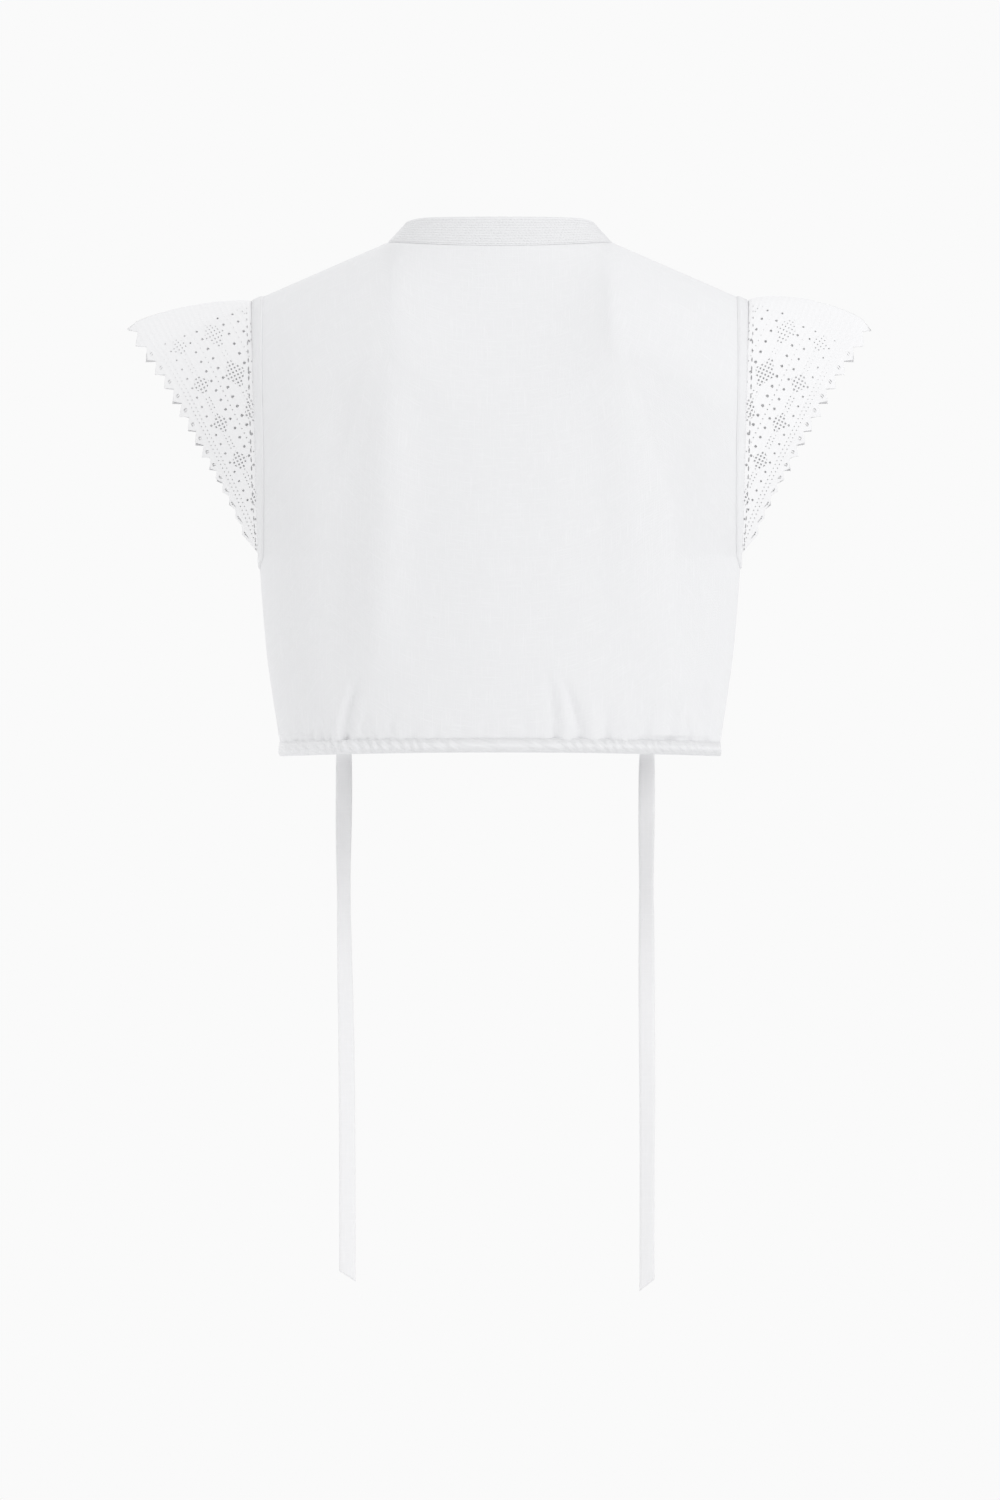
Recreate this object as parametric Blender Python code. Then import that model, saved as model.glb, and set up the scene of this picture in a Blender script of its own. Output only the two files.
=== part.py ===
"""A short white dirndl blouse in the hollow form that it has when it is worn.

Metres, +Z up. The wearer faces +Y, with the right arm at +X. The origin is the middle of the neck,
level with the collar seam at the centre of the back, where the neck and shoulders hold the blouse up.
Each panel is an outer surface worked out from body sections, given its cloth thickness inwards.
"""
import math

import bmesh
import bpy
import numpy as np
from mathutils import Vector
from mathutils.bvhtree import BVHTree

MM = 0.001

# Cloth thickness, and the gaps that keep the pieces apart
PANEL_WALL = 1.2 * MM
COLLAR_WALL = 1.8 * MM
LACE_WALL = 1.1 * MM
BAND_WALL = 1.0 * MM
TAPE_WALL = 0.8 * MM
SEAM = 0.3 * MM
LIFT = 0.8 * MM
PANEL_SETBACK = 0.3 * MM

# Neck and collar
NECK_HALF_WIDTH = 84 * MM
NECK_BACK = 58 * MM
NECK_FRONT = 72 * MM
NECK_RISE = 3.75 * MM
NECK_DROP = 64 * MM
NECK_DROP_CURVE = 1.3
COLLAR_HALF_WIDTH = 70 * MM
COLLAR_BACK = 47 * MM
COLLAR_FRONT = 61 * MM
COLLAR_TOP = 21.75 * MM
COLLAR_SIDE_DIP = 2.75 * MM
COLLAR_TOP_DROP = 58 * MM
COLLAR_SIDE_DIP_POWER = 6
COLLAR_START = 0.04
COLLAR_ROWS = 5
COLLAR_COLUMNS = 46

# Shoulders, armholes and hem
SHOULDER_X = 186 * MM
SHOULDER_SLOPE = 0.435
UNDERARM_Z = -232 * MM
ARMHOLE_BACK = 54 * MM
ARMHOLE_FRONT = 50 * MM
HEM_Z = -381.2 * MM
HEM_CENTRE_LIFT = 2.8 * MM
CASING_HEIGHT = 10.5 * MM

SECTION_POWER = 2.15
SPREAD_EVEN_BELOW = -40 * MM
NECK_COLUMNS = 6
SHOULDER_COLUMNS = 6
ROLL_ROWS = 7
ARMHOLE_ROWS = 5
SKIRT_ROWS = 8

# Body sections from the top down: height, half width at the side, depth of the back, of the front
BODY_SECTIONS = (
    {"z": 10 * MM, "half": 186.5 * MM, "back": 80 * MM, "front": 90 * MM},
    {"z": -40 * MM, "half": 186 * MM, "back": 95 * MM, "front": 104 * MM},
    {"z": -100 * MM, "half": 184.5 * MM, "back": 105 * MM, "front": 118 * MM},
    {"z": -160 * MM, "half": 183 * MM, "back": 109 * MM, "front": 128 * MM},
    {"z": -215 * MM, "half": 181.5 * MM, "back": 108 * MM, "front": 132 * MM},
    {"z": -264 * MM, "half": 178.5 * MM, "back": 105 * MM, "front": 125 * MM},
    {"z": -312 * MM, "half": 174 * MM, "back": 102 * MM, "front": 113 * MM},
    {"z": -342 * MM, "half": 169.5 * MM, "back": 100 * MM, "front": 106 * MM},
    {"z": -380 * MM, "half": 163.5 * MM, "back": 98 * MM, "front": 101 * MM},
)

# How far the shoulder's roll reaches down before the panel hangs: beside the neck, and at its centre
ROLL_AT_NECK_SIDE = {"back": 80 * MM, "front": 135 * MM}
ROLL_AT_CENTRE = {"back": 128 * MM, "front": 118 * MM}
ROLL_CENTRE_POWER = 1.7
ROUND_AT_NECK_SIDE = {"back": 0.9, "front": 0.0}
ROUND_SHOULDER_POWER = 0.7

# Gathers above the casing and puckers on it
GATHER_TOP = 70 * MM
GATHER_HEIGHT = 2.8 * MM
GATHER_GROWTH = 1.6
GATHER_MEAN = 0.55
GATHER_WAVES = (
    {"share": 0.25, "per_column": 2.3, "shift": 0.7},
    {"share": 0.20, "per_column": 5.1, "shift": 0.0},
)
GATHER_SIDE_FADE = 8
GATHER_BAND_CLEAR = 14 * MM
GATHER_BAND_FADE = 20 * MM
PUCKERS_ACROSS_BACK = 54
PUCKER_HEIGHT = 1.1 * MM
PUCKER_MEAN = 0.6
PUCKER_WAVE = {"share": 0.4, "per_step": 1.9, "shift": 0.4}
CASING_BULGE = 0.9 * MM
CASING_DEPTH = 2.8 * MM

# The casing's outline, from its upper outer edge round to its upper inner edge: how far it stands out,
# its share of the pucker, and how far down it lies as a share of the casing's height
CASING_OUTLINE = (
    {"out": 0.0, "pucker": 0.0, "down": 0.0},
    {"out": CASING_BULGE, "pucker": 0.4, "down": 0.22},
    {"out": CASING_BULGE, "pucker": 1.0, "down": 0.62},
    {"out": 0.2 * MM, "pucker": 0.0, "down": 1.0},
    {"out": -0.7 * CASING_DEPTH, "pucker": 0.0, "down": 0.9},
    {"out": -0.6 * CASING_DEPTH, "pucker": 0.0, "down": 0.0},
)

# Sleeves: the lace's outer edge from underarm to outer corner, and the points of its edging
SLEEVE_GAP = 0.9 * MM
SLEEVE_EDGE = (
    {"along": 0.0, "x": 184.5 * MM, "z": -231 * MM},
    {"along": 0.12, "x": 194.0 * MM, "z": -207 * MM},
    {"along": 0.5, "x": 223.5 * MM, "z": -145 * MM},
    {"along": 0.8, "x": 252.0 * MM, "z": -93 * MM},
    {"along": 0.93, "x": 267.0 * MM, "z": -70.5 * MM},
    {"along": 1.0, "x": 274.5 * MM, "z": -57 * MM},
)
SLEEVE_EDGE_DEPTH = 27 * MM
SLEEVE_EDGE_FULLNESS = 0.8
SLEEVE_CROWN = {"left": 5.5 * MM, "right": 10 * MM}
SLEEVE_CROWN_POWER = 0.55
SLEEVE_CROWN_NARROWNESS = 10
SLEEVE_FOLD = 3.0 * MM
SLEEVE_FOLD_TURN = 0.30
SLEEVE_FOLD_HALF_WIDTH = 0.12
SLEEVE_FOLD_POWER = 0.7
LACE_POINTS = 31
LACE_POINT_HEIGHT = 5.6 * MM
LACE_EDGE_HEIGHT = 0.7 * MM
SLEEVE_START = 0.16
LACE_ROWS = 5

# Front fastening
BUTTON_BAND_HALF = 11 * MM
BUTTON_BAND_INNER_SHARE = 0.35
BUTTON_BAND_TOP_GAP = 1.5 * MM
BUTTON_RADIUS = 5.5 * MM
BUTTON_SIDES = 14
BUTTON_THICKNESS = 2.2 * MM

# A button's turned shape from its back to its dished face, as shares of its radius and thickness
BUTTON_PROFILE = (
    {"radius": 0.55, "height": 0.0},
    {"radius": 1.0, "height": 0.35},
    {"radius": 0.96, "height": 0.85},
    {"radius": 0.8, "height": 1.0},
    {"radius": 0.62, "height": 0.72},
)
BUTTON_DROPS = (-88 * MM, -146 * MM, -204 * MM, -262 * MM, -320 * MM)
COLLAR_BUTTON_UP = 0.5

ARMHOLE_BAND_WIDTH = 9.0 * MM
ARMHOLE_BAND_INSET = 1.1 * MM
ARMHOLE_BAND_STEPS = 56
ARMHOLE_TANGENT_STEP = 0.02

# Tapes: the route of each free end, from its hole in the front casing down to its cut end, and the
# turn of the tape's face about the vertical, in degrees
TAPE_HALF_WIDTH = 6.2 * MM
TAPE_ROUTES = {
    "tie_left": (
        {"x": -117.6, "y": 78.5, "z": -373.0, "turn": 28},
        {"x": -117.6, "y": 80.5, "z": -380.0, "turn": 20},
        {"x": -117.6, "y": 81.5, "z": -392.0, "turn": 10},
        {"x": -117.7, "y": 81.9, "z": -420.0, "turn": 4},
        {"x": -117.9, "y": 82.1, "z": -450.0, "turn": 22},
        {"x": -117.8, "y": 82.1, "z": -482.0, "turn": 34},
        {"x": -117.4, "y": 81.9, "z": -514.0, "turn": 30},
        {"x": -116.8, "y": 81.7, "z": -546.0, "turn": 24},
        {"x": -116.1, "y": 81.7, "z": -580.0, "turn": 16},
        {"x": -115.6, "y": 81.9, "z": -614.0, "turn": 12},
        {"x": -115.3, "y": 82.1, "z": -650.0, "turn": 10},
        {"x": -115.1, "y": 82.1, "z": -686.0, "turn": 8},
        {"x": -115.0, "y": 81.9, "z": -722.0, "turn": 4},
        {"x": -115.0, "y": 81.7, "z": -755.0, "turn": 0},
        {"x": -115.0, "y": 81.5, "z": -773.5, "turn": 0},
    ),
    "tie_right": (
        {"x": 110.8, "y": 81.8, "z": -373.0, "turn": -28},
        {"x": 110.8, "y": 83.2, "z": -380.0, "turn": -24},
        {"x": 110.7, "y": 84.3, "z": -392.0, "turn": -12},
        {"x": 110.6, "y": 84.8, "z": -420.0, "turn": 0},
        {"x": 110.4, "y": 85.0, "z": -450.0, "turn": -18},
        {"x": 110.4, "y": 85.0, "z": -482.0, "turn": -26},
        {"x": 110.5, "y": 84.8, "z": -514.0, "turn": -16},
        {"x": 110.6, "y": 84.6, "z": -546.0, "turn": -8},
        {"x": 110.8, "y": 84.6, "z": -580.0, "turn": -4},
        {"x": 111.0, "y": 84.8, "z": -614.0, "turn": -10},
        {"x": 111.1, "y": 85.0, "z": -650.0, "turn": -16},
        {"x": 111.0, "y": 85.0, "z": -686.0, "turn": -22},
        {"x": 110.9, "y": 84.8, "z": -722.0, "turn": -24},
        {"x": 110.8, "y": 84.6, "z": -757.0, "turn": -24},
        {"x": 110.8, "y": 84.4, "z": -780.5, "turn": -24},
    ),
}
TAPE_END_SLANT = {"tie_left": -8.0 * MM, "tie_right": 9.0 * MM}

WHITE_COTTON = (0.84, 0.84, 0.85)
WHITE_LACE = (0.86, 0.86, 0.86)
WHITE_TAPE = (0.80, 0.80, 0.81)
WHITE_SHELL = (0.82, 0.81, 0.79)
CLOTH_ROUGHNESS = 0.85
BUTTON_ROUGHNESS = 0.25
SHARP_ANGLE = 35


def material(name, colour, roughness):
    """A plain Principled material."""
    made = bpy.data.materials.new(name)
    made.use_nodes = True
    shader = made.node_tree.nodes["Principled BSDF"]
    shader.inputs["Base Color"].default_value = (*colour, 1.0)
    shader.inputs["Roughness"].default_value = roughness
    shader.inputs["Metallic"].default_value = 0.0
    return made


def finish_object(name, form, colour, roughness):
    """Put a bmesh into the scene as one named object with its own material."""
    mesh = bpy.data.meshes.new(name)
    form.to_mesh(mesh)
    form.free()
    mesh.shade_smooth()
    mesh.set_sharp_from_angle(angle=math.radians(SHARP_ANGLE))
    made = bpy.data.objects.new(name, mesh)
    made.data.materials.append(material(name, colour, roughness))
    bpy.context.scene.collection.objects.link(made)
    return made


def cloth_wall(name, rows, thickness, colour, flip=False):
    """A cloth wall: the rows are its outer face, and the thickness goes inwards.

    A row has as many points as the one before it, or twice as many intervals.
    """
    form = bmesh.new()
    grid = [[form.verts.new(point) for point in row] for row in rows]
    for upper, lower in zip(grid, grid[1:]):
        finer = len(lower) > len(upper)
        for i in range(len(upper) - 1):
            if finer:
                a, b = upper[i], upper[i + 1]
                c, d, e = lower[2 * i], lower[2 * i + 1], lower[2 * i + 2]
                faces = ((a, c, d), (a, d, b), (b, d, e))
            else:
                faces = ((upper[i], lower[i], lower[i + 1], upper[i + 1]),)
            for corners in faces:
                form.faces.new(corners if not flip else corners[::-1])
    form.normal_update()
    made = finish_object(name, form, colour, CLOTH_ROUGHNESS)
    wall = made.modifiers.new("cloth thickness", "SOLIDIFY")
    wall.thickness = thickness
    wall.offset = -1.0
    wall.use_even_offset = False
    wall.use_rim = True
    return made


def loft(name, rings, colour, roughness=CLOTH_ROUGHNESS, closed=False):
    """A solid carried along a path: each ring is its closed outline at one step of the path."""
    form = bmesh.new()
    grid = [[form.verts.new(point) for point in ring] for ring in rings]
    steps = list(zip(grid, grid[1:]))
    if closed:
        steps.append((grid[-1], grid[0]))
    for near, far in steps:
        for i in range(len(near)):
            j = (i + 1) % len(near)
            form.faces.new((near[i], near[j], far[j], far[i]))
    if not closed:
        form.faces.new(grid[0][::-1])
        form.faces.new(grid[-1])
    bmesh.ops.triangulate(form, faces=form.faces[:])
    bmesh.ops.recalc_face_normals(form, faces=form.faces)
    return finish_object(name, form, colour, roughness)


def from_table(table, key, place, value):
    """A smooth curve through one column of a table, read at a place in its key column."""
    keys = np.array([row[key] for row in table])
    values = np.array([row[value] for row in table])
    if keys[0] > keys[-1]:
        keys = keys[::-1]
        values = values[::-1]
    slopes = np.gradient(values, keys)
    i = int(np.clip(np.searchsorted(keys, place) - 1, 0, len(keys) - 2))
    width = keys[i + 1] - keys[i]
    t = min(max((place - keys[i]) / width, 0.0), 1.0)
    start = values[i] * (1 + 2 * t) * (1 - t) ** 2 + slopes[i] * width * t * (1 - t) ** 2
    end = values[i + 1] * t * t * (3 - 2 * t) + slopes[i + 1] * width * t * t * (t - 1)
    return float(start + end)


def body(z, value):
    """A body section's value at a height."""
    return from_table(BODY_SECTIONS, "z", z, value)


def neck_point(around):
    """The neck seam: 0 at the centre of the back, half a turn at the centre of the front."""
    x = NECK_HALF_WIDTH * math.sin(around)
    if math.cos(around) >= 0:
        return x, -NECK_BACK * math.cos(around), NECK_RISE * math.sin(around) ** 2
    forward = -math.cos(around)
    return x, NECK_FRONT * forward, NECK_RISE - NECK_DROP * forward ** NECK_DROP_CURVE


def collar_point(around, up):
    """The collar's outer face: up goes from the neck seam, 0, to its top edge, 1."""
    base = Vector(neck_point(around))
    x = COLLAR_HALF_WIDTH * math.sin(around)
    if math.cos(around) >= 0:
        y = -COLLAR_BACK * math.cos(around)
        z = COLLAR_TOP - COLLAR_SIDE_DIP * abs(math.sin(around)) ** COLLAR_SIDE_DIP_POWER
    else:
        forward = -math.cos(around)
        y = COLLAR_FRONT * forward
        z = COLLAR_TOP - COLLAR_SIDE_DIP - COLLAR_TOP_DROP * forward ** NECK_DROP_CURVE
    return base.lerp(Vector((x, y, z)), COLLAR_START + (1 - COLLAR_START) * up)


def column_spread(column, z):
    """How far out a column lies, as a share of the half width: set by the neck at the top of the
    panel, and even round the section below the armhole."""
    whole = NECK_COLUMNS + SHOULDER_COLUMNS
    even = math.sin(0.5 * math.pi * column / whole) ** (2 / SECTION_POWER)
    neck_share = NECK_HALF_WIDTH / SHOULDER_X
    if column <= NECK_COLUMNS:
        top = neck_share * math.sin(0.5 * math.pi * column / NECK_COLUMNS)
    else:
        start = math.asin(neck_share ** (SECTION_POWER / 2)) / (0.5 * math.pi)
        part = start + (1 - start) * (column - NECK_COLUMNS) / SHOULDER_COLUMNS
        top = math.sin(0.5 * math.pi * part) ** (2 / SECTION_POWER)
    fall = min(max((SPREAD_EVEN_BELOW - z) / (SPREAD_EVEN_BELOW - UNDERARM_Z), 0.0), 1.0)
    mix = fall * fall * (3 - 2 * fall)
    return top + (even - top) * mix


def top_of_column(column, side):
    """Where a column starts on the neck or shoulder seam, how far its roll reaches, and how round it is."""
    x = SHOULDER_X * column_spread(column, 0.0)
    if column < NECK_COLUMNS:
        around = 0.5 * math.pi * column / NECK_COLUMNS
        start = neck_point(around if side == "back" else math.pi - around)
        mix = (x / NECK_HALF_WIDTH) ** 2
        roll = ROLL_AT_CENTRE[side] + (ROLL_AT_NECK_SIDE[side] - ROLL_AT_CENTRE[side]) * mix
        return x, abs(start[1]), start[2], roll, mix * ROUND_AT_NECK_SIDE[side]
    z = NECK_RISE - (x - NECK_HALF_WIDTH) * SHOULDER_SLOPE
    armhole_roll = 0.5 * (shoulder_end_z() - UNDERARM_Z)
    mix = (x - NECK_HALF_WIDTH) / (SHOULDER_X - NECK_HALF_WIDTH)
    roll = ROLL_AT_NECK_SIDE[side] + (armhole_roll - ROLL_AT_NECK_SIDE[side]) * mix
    rounder = ROUND_AT_NECK_SIDE[side]
    return x, 0.0, z, roll, rounder + (1 - rounder) * mix ** ROUND_SHOULDER_POWER


def shoulder_end_z():
    """Height of the shoulder seam's outer end."""
    return NECK_RISE - (SHOULDER_X - NECK_HALF_WIDTH) * SHOULDER_SLOPE


def armhole_edge_depth(z, side):
    """How far the armhole's edge stands behind or before the shoulder seam, without the roll."""
    widest = ARMHOLE_BACK if side == "back" else ARMHOLE_FRONT
    middle = 0.5 * (shoulder_end_z() + UNDERARM_Z)
    if z >= middle:
        return widest
    reach = (middle - z) / (middle - UNDERARM_Z)
    return widest * math.sqrt(max(0.0, 1 - reach * reach))


def hem_height(spread):
    """The hem, a little higher at the centre than at the sides."""
    return HEM_Z + HEM_CENTRE_LIFT * (1 - spread * spread)


def section_depth(spread, z, side):
    """Depth of a horizontal body section: a rounded curve between its centre and its edge."""
    n = SECTION_POWER
    middle = body(z, side) ** n * (1 - spread ** n)
    edge = armhole_edge_depth(z, side) ** n * spread ** n
    return (middle + edge) ** (1 / n)


def gather(column, z, spread, side):
    """Uneven gathers that grow towards the casing and fade at the button band and the side."""
    height_above = z - (hem_height(spread) + CASING_HEIGHT)
    rise = min(max(1 - height_above / GATHER_TOP, 0.0), 1.0)
    uneven = GATHER_MEAN
    for wave in GATHER_WAVES:
        uneven += wave["share"] * math.sin(wave["per_column"] * column + wave["shift"])
    fade = 1.0 - spread ** GATHER_SIDE_FADE
    if side == "front":
        beside_band = spread * body(z, "half") - GATHER_BAND_CLEAR
        fade *= min(max(beside_band / GATHER_BAND_FADE, 0.0), 1.0)
    return GATHER_HEIGHT * rise ** GATHER_GROWTH * uneven * fade * math.cos(2 * math.pi * column)


def panel_point(column, fall, side):
    """A point of a panel's outer face on the right half of the body.

    The fall counts rows: first the shoulder's roll, then down to the underarm, then down to the casing.
    """
    top_x, top_depth, top_z, roll, mix = top_of_column(column, side)
    if fall <= ROLL_ROWS:
        turn = 0.5 * math.pi * fall / ROLL_ROWS
        z = top_z - roll * (1 - math.cos(turn))
    elif fall <= ROLL_ROWS + ARMHOLE_ROWS:
        turn = 0.5 * math.pi * (fall - ROLL_ROWS) / ARMHOLE_ROWS
        start = top_z - roll
        z = start + (UNDERARM_Z - start) * math.sin(turn)
    else:
        spread = column_spread(column, UNDERARM_Z)
        part = (fall - ROLL_ROWS - ARMHOLE_ROWS) / SKIRT_ROWS
        end = hem_height(spread) + CASING_HEIGHT + SEAM
        z = UNDERARM_Z + (end - UNDERARM_Z) * part
    spread = column_spread(column, z)
    depth = section_depth(spread, z, side)
    if fall < ROLL_ROWS:
        t = 1 - math.cos(0.5 * math.pi * fall / ROLL_ROWS)
        soft = 1 - (1 - t) ** ROLL_CENTRE_POWER
        round_over = math.sqrt(1 - (1 - t) ** 2)
        depth = top_depth + (depth - top_depth) * (soft + (round_over - soft) * mix)
    x = body(z, "half") * spread
    ripple = gather(column, z, spread, side)
    outward = Vector((spread ** 3, 1 - spread ** 3)).normalized()
    x += ripple * outward.x
    depth += ripple * outward.y + PANEL_SETBACK
    sign = -1 if side == "back" else 1
    return Vector((x, sign * depth, z))


def panel_rows(side, columns_of_half):
    """All rows of one half panel, coarse down to the underarm and twice as fine below it."""
    rows = []
    for fall in range(ROLL_ROWS + ARMHOLE_ROWS + SKIRT_ROWS + 1):
        finer = 2 if fall > ROLL_ROWS + ARMHOLE_ROWS else 1
        columns = [i / finer for i in range(columns_of_half * finer + 1)]
        rows.append([panel_point(column, fall, side) for column in columns])
    return rows


def mirrored(point):
    """The same point on the other side of the body."""
    return Vector((-point.x, point.y, point.z))


def build_back():
    """Back panel, cut in one piece from armhole to armhole."""
    half = panel_rows("back", NECK_COLUMNS + SHOULDER_COLUMNS)
    rows = [[mirrored(point) for point in row[:0:-1]] + row for row in half]
    cloth_wall("back", rows, PANEL_WALL, WHITE_COTTON)


def build_fronts():
    """Two front panels that meet at the centre front."""
    half = panel_rows("front", NECK_COLUMNS + SHOULDER_COLUMNS)
    for row in half:
        row[0].x = 0.5 * SEAM
    cloth_wall("front_right", half, PANEL_WALL, WHITE_COTTON, flip=True)
    cloth_wall("front_left", [[mirrored(p) for p in row] for row in half], PANEL_WALL, WHITE_COTTON)


def build_collar():
    """Stand collar: one stitched band round the neck, its ends meeting beside the centre front."""
    meet = math.pi - math.asin(BUTTON_BAND_HALF / NECK_HALF_WIDTH)
    start = -meet
    end = 2 * math.pi - meet - SEAM / NECK_FRONT
    turns = np.linspace(start, end, COLLAR_COLUMNS + 1)
    rows = [[collar_point(turn, up) for turn in turns] for up in np.linspace(1, 0, COLLAR_ROWS)]
    cloth_wall("collar", rows, COLLAR_WALL, WHITE_COTTON)


def casing_point(column, side):
    """A point on the casing's outer line, at its upper edge."""
    whole = NECK_COLUMNS + SHOULDER_COLUMNS
    spread = column_spread(column, UNDERARM_Z)
    top = hem_height(spread) + CASING_HEIGHT
    x = body(top, "half") * spread
    depth = section_depth(spread, top, side) + 0.5 * SEAM
    normal = Vector((spread ** (SECTION_POWER - 1) / body(top, "half"),
                     max(0.0, 1 - spread ** SECTION_POWER) ** (1 - 1 / SECTION_POWER) / body(top, side)))
    normal.normalize()
    if column == whole:
        normal = Vector((1.0, 0.0))
    return x, depth, top, normal


def casing_rings(side, first_column, puckers):
    """Outlines of the hem casing: a flat tunnel with puckers on its outer face."""
    whole = NECK_COLUMNS + SHOULDER_COLUMNS
    sign = -1 if side == "back" else 1
    rings = []
    for i in range(2 * puckers + 1):
        column = first_column + (whole - first_column) * i / (2 * puckers)
        x, depth, top, normal = casing_point(column, side)
        wave = PUCKER_WAVE["share"] * math.sin(PUCKER_WAVE["per_step"] * i + PUCKER_WAVE["shift"])
        uneven = PUCKER_MEAN + wave
        pucker = PUCKER_HEIGHT * uneven if i % 2 else 0.0
        ring = []
        for corner in CASING_OUTLINE:
            out = corner["out"] + corner["pucker"] * pucker
            px = x + out * normal.x
            py = depth + out * normal.y
            ring.append(Vector((px, sign * max(py, 0.5 * SEAM), top - corner["down"] * CASING_HEIGHT)))
        rings.append(ring)
    return rings


def build_casings():
    """Hem casings that hold the drawstring: one along the back, one along each front."""
    half_puckers = PUCKERS_ACROSS_BACK // 2
    right = casing_rings("back", 0, half_puckers)
    left = [[mirrored(p) for p in ring] for ring in right[:0:-1]]
    loft("casing_back", left + right, WHITE_COTTON)
    front = casing_rings("front", 0, half_puckers)
    for point in front[0]:
        point.x = 0.5 * SEAM
    loft("casing_front_right", front, WHITE_COTTON)
    loft("casing_front_left", [[mirrored(p) for p in ring] for ring in front], WHITE_COTTON)


def armhole_point(turn):
    """The right armhole's edge: 0 at the underarm, then up the back, over the shoulder, down the front."""
    top = shoulder_end_z()
    middle = 0.5 * (top + UNDERARM_Z)
    z = middle - 0.5 * (top - UNDERARM_Z) * math.cos(turn)
    widest = ARMHOLE_BACK if math.sin(turn) > 0 else ARMHOLE_FRONT
    return Vector((body(z, "half"), -widest * math.sin(turn), z))


def outer_face(made):
    """A search tree of a cloth wall's outer face, for the pieces that lie on it."""
    points = [vertex.co for vertex in made.data.vertices]
    return BVHTree.FromPolygons(points, [face.vertices[:] for face in made.data.polygons])


def laid_on(trees, place):
    """The nearest point of some outer faces, and the way out of the cloth there."""
    found = [tree.find_nearest(place) for tree in trees]
    spot, out, _, _ = min(found, key=lambda hit: hit[3])
    return spot, out


def away_from_armhole(trees, turn):
    """The way along the cloth from the armhole's edge into the panel."""
    edge = armhole_point(turn)
    step = ARMHOLE_TANGENT_STEP
    along = (armhole_point(turn + step) - armhole_point(turn - step)).normalized()
    _, out = laid_on(trees, edge)
    inward = along.cross(out).normalized()
    reach = inward * 0.5 * ARMHOLE_BAND_WIDTH
    ahead = laid_on(trees, edge + reach)[0] - (edge + reach)
    behind = laid_on(trees, edge - reach)[0] - (edge - reach)
    return inward if ahead.length < behind.length else -inward


def build_armhole_bands():
    """Stitched-down band round each armhole, lying on the panels' outer face."""
    trees = [outer_face(bpy.data.objects[name]) for name in ("back", "front_right")]
    rings = []
    for i in range(ARMHOLE_BAND_STEPS):
        turn = 2 * math.pi * (i + 0.5) / ARMHOLE_BAND_STEPS
        edge = armhole_point(turn)
        inward = away_from_armhole(trees, turn)
        near, near_out = laid_on(trees, edge + inward * ARMHOLE_BAND_INSET)
        far, far_out = laid_on(trees, edge + inward * (ARMHOLE_BAND_INSET + ARMHOLE_BAND_WIDTH))
        rings.append([near + near_out * LIFT, near + near_out * (LIFT + BAND_WALL),
                      far + far_out * (LIFT + BAND_WALL), far + far_out * LIFT])
    loft("armhole_band_right", rings, WHITE_COTTON, closed=True)
    loft("armhole_band_left", [[mirrored(p) for p in ring] for ring in rings], WHITE_COTTON, closed=True)


def sleeve_edge(turn):
    """The lace's outer edge under its points, for the same turn as the armhole."""
    along = 1 - abs(1 - turn / math.pi)
    x = from_table(SLEEVE_EDGE, "along", along, "x")
    z = from_table(SLEEVE_EDGE, "along", along, "z")
    sign = -1 if turn < math.pi else 1
    return Vector((x, sign * SLEEVE_EDGE_DEPTH * math.sin(math.pi * along) ** SLEEVE_EDGE_FULLNESS, z))


def sleeve_point(turn, out, side):
    """The lace's outer face: out goes from the armhole, 0, to the outer edge, 1."""
    edge = armhole_point(turn)
    start = edge + Vector((SLEEVE_GAP, 0.0, 0.0))
    point = start.lerp(sleeve_edge(turn), out)
    near_top = math.cos(0.5 * (turn - math.pi)) ** SLEEVE_CROWN_NARROWNESS
    point.z += SLEEVE_CROWN[side] * math.sin(math.pi * out) ** SLEEVE_CROWN_POWER * near_top
    off_top = abs(turn - math.pi)
    fold = math.exp(-((off_top - SLEEVE_FOLD_TURN) / SLEEVE_FOLD_HALF_WIDTH) ** 2)
    point.z -= SLEEVE_FOLD * fold * math.sin(math.pi * out) ** SLEEVE_FOLD_POWER
    return point


def sleeve_rows(side):
    """Rows from the armhole to the outer edge, then the points of the lace's edging."""
    count = 2 * LACE_POINTS
    turns = [SLEEVE_START + (2 * math.pi - 2 * SLEEVE_START) * i / count for i in range(count + 1)]
    rows = [[sleeve_point(turn, out, side) for turn in turns] for out in np.linspace(0, 1, LACE_ROWS + 1)]
    tips = []
    for i, edge in enumerate(rows[-1]):
        ahead = rows[-1][min(i + 1, count)] - rows[-1][max(i - 1, 0)]
        away = edge - rows[-2][i]
        away = (away - ahead * (away.dot(ahead) / ahead.length_squared)).normalized()
        height = LACE_POINT_HEIGHT if i % 2 else LACE_EDGE_HEIGHT
        tips.append(edge + away * height)
    return rows + [tips]


def build_sleeves():
    """Lace sleeves, each one piece from the back underarm over the shoulder to the front underarm."""
    cloth_wall("sleeve_right", sleeve_rows("right"), LACE_WALL, WHITE_LACE)
    left = [[mirrored(p) for p in row] for row in sleeve_rows("left")]
    cloth_wall("sleeve_left", left, LACE_WALL, WHITE_LACE, flip=True)


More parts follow.
